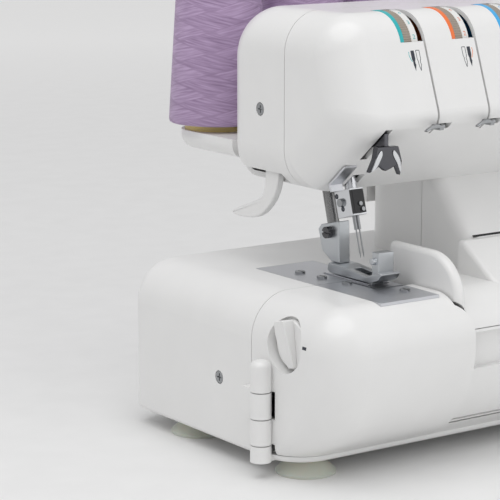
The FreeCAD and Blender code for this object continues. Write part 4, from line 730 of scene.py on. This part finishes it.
def make_seam():
    """Painted shade of the gap between the column and the deck, laid on the leaning foot of the column."""
    rims = []
    for x in SEAM_ENDS:
        rim = []
        for along, lift in ((0, 0), (1, 0), (1, 1), (0, 1)):
            climb = SEAM_SPAN[along] * DIAGONAL
            proud = SEAM_LIFT[lift] * DIAGONAL
            rim.append(at(x, SEAM_FOOT[0] + climb - proud, SEAM_FOOT[1] + climb + proud))
        rims.append(rim)
    verts, faces = prism(*rims)
    # Dark strip of painted shade where the gap between the casings shows
    mesh_object("column_gap_shade", verts, faces, DARK, "machine")


# Camera, light and floor
CAMERA_SPOT = (-714.56, -897.23, 352.1)
CAMERA_YAW = math.radians(35)
CAMERA_PITCH = math.radians(11)
CAMERA_LENS = 156.1
CAMERA_SENSOR = 36
CAMERA_FAR = 50  # metres
FLOOR_HALF = 14.0  # metres
FLOOR_COLOR = (0.83, 0.83, 0.825)
FLOOR_ROUGH = 0.75
FLOOR_FADE = (0.45, 2.4)  # metres
FLOOR_GLOW = 0.22
FLOOR_GLOW_COLOR = (1.0, 0.995, 0.985, 1)
SKY_COLOR = (0.99, 0.99, 1.0, 1)
SKY_STRENGTH = 0.56
LIGHT_TARGET = (60, 60, 120)
LIGHTS = {
    "key": ((-380, -120, 1600), 1.8, 13.0),
    "fill": ((700, -1200, 500), 1.8, 4.5),
}


def make_camera():
    """Camera at the photograph's place."""
    data = bpy.data.cameras.new("camera")
    data.lens = CAMERA_LENS
    data.sensor_width = CAMERA_SENSOR
    data.clip_end = CAMERA_FAR
    camera = bpy.data.objects.new("camera", data)
    bpy.context.scene.collection.objects.link(camera)
    camera.location = at(*CAMERA_SPOT)
    level = math.cos(CAMERA_PITCH)
    forward = Vector((math.sin(CAMERA_YAW) * level, math.cos(CAMERA_YAW) * level, -math.sin(CAMERA_PITCH)))
    camera.rotation_euler = forward.to_track_quat("-Z", "Y").to_euler()
    bpy.context.scene.camera = camera


def area_light(name, spot, size, power):
    """Round soft light aimed at the machine. Size is in metres, power in watts."""
    data = bpy.data.lights.new(name, "AREA")
    data.shape = "DISK"
    data.size = size
    data.energy = power
    light = bpy.data.objects.new(name, data)
    bpy.context.scene.collection.objects.link(light)
    light.location = at(*spot)
    light.rotation_euler = (at(*LIGHT_TARGET) - light.location).to_track_quat("-Z", "Y").to_euler()


def floor_shader():
    """Pale floor that stays pale far from the lamps where the camera or a polished face sees it."""
    mat = shader("floor", FLOOR_COLOR, FLOOR_ROUGH)
    tree = mat.node_tree
    bsdf = tree.nodes["Principled BSDF"]
    path = tree.nodes.new("ShaderNodeLightPath")
    coords = tree.nodes.new("ShaderNodeTexCoord")
    reach = tree.nodes.new("ShaderNodeVectorMath")
    reach.operation = "LENGTH"
    tree.links.new(coords.outputs["Object"], reach.inputs[0])
    fade = tree.nodes.new("ShaderNodeMapRange")
    fade.inputs["From Min"].default_value = FLOOR_FADE[0]
    fade.inputs["From Max"].default_value = FLOOR_FADE[1]
    fade.inputs["To Max"].default_value = FLOOR_GLOW
    tree.links.new(reach.outputs["Value"], fade.inputs["Value"])
    seen = math_node(tree, "MAXIMUM", path.outputs["Is Camera Ray"], path.outputs["Is Glossy Ray"])
    seen = math_node(tree, "MAXIMUM", seen, path.outputs["Is Transmission Ray"])
    bsdf.inputs["Emission Color"].default_value = FLOOR_GLOW_COLOR
    glow = math_node(tree, "MULTIPLY", fade.outputs["Result"], seen)
    tree.links.new(glow, bsdf.inputs["Emission Strength"])
    return mat


def make_stage():
    """Pale floor, even surroundings and large soft lights."""
    corners = [(-1, -1), (1, -1), (1, 1), (-1, 1)]
    verts = [(x * FLOOR_HALF, y * FLOOR_HALF, 0.0) for x, y in corners]
    floor = mesh_object("floor", verts, [(0, 1, 2, 3)], floor_shader(), None)
    world = bpy.data.worlds.new("studio")
    bpy.context.scene.world = world
    world.use_nodes = True
    back = world.node_tree.nodes["Background"]
    back.inputs["Color"].default_value = SKY_COLOR
    back.inputs["Strength"].default_value = SKY_STRENGTH
    for name, (spot, size, power) in LIGHTS.items():
        area_light(name, spot, size, power)


dress_frame()
make_cones()
make_dials()
make_signs()
make_knob()
make_lever()
make_hooks()
make_stitching_parts()
make_seam()
make_camera()
make_stage()
bpy.context.scene.view_settings.view_transform = "Standard"
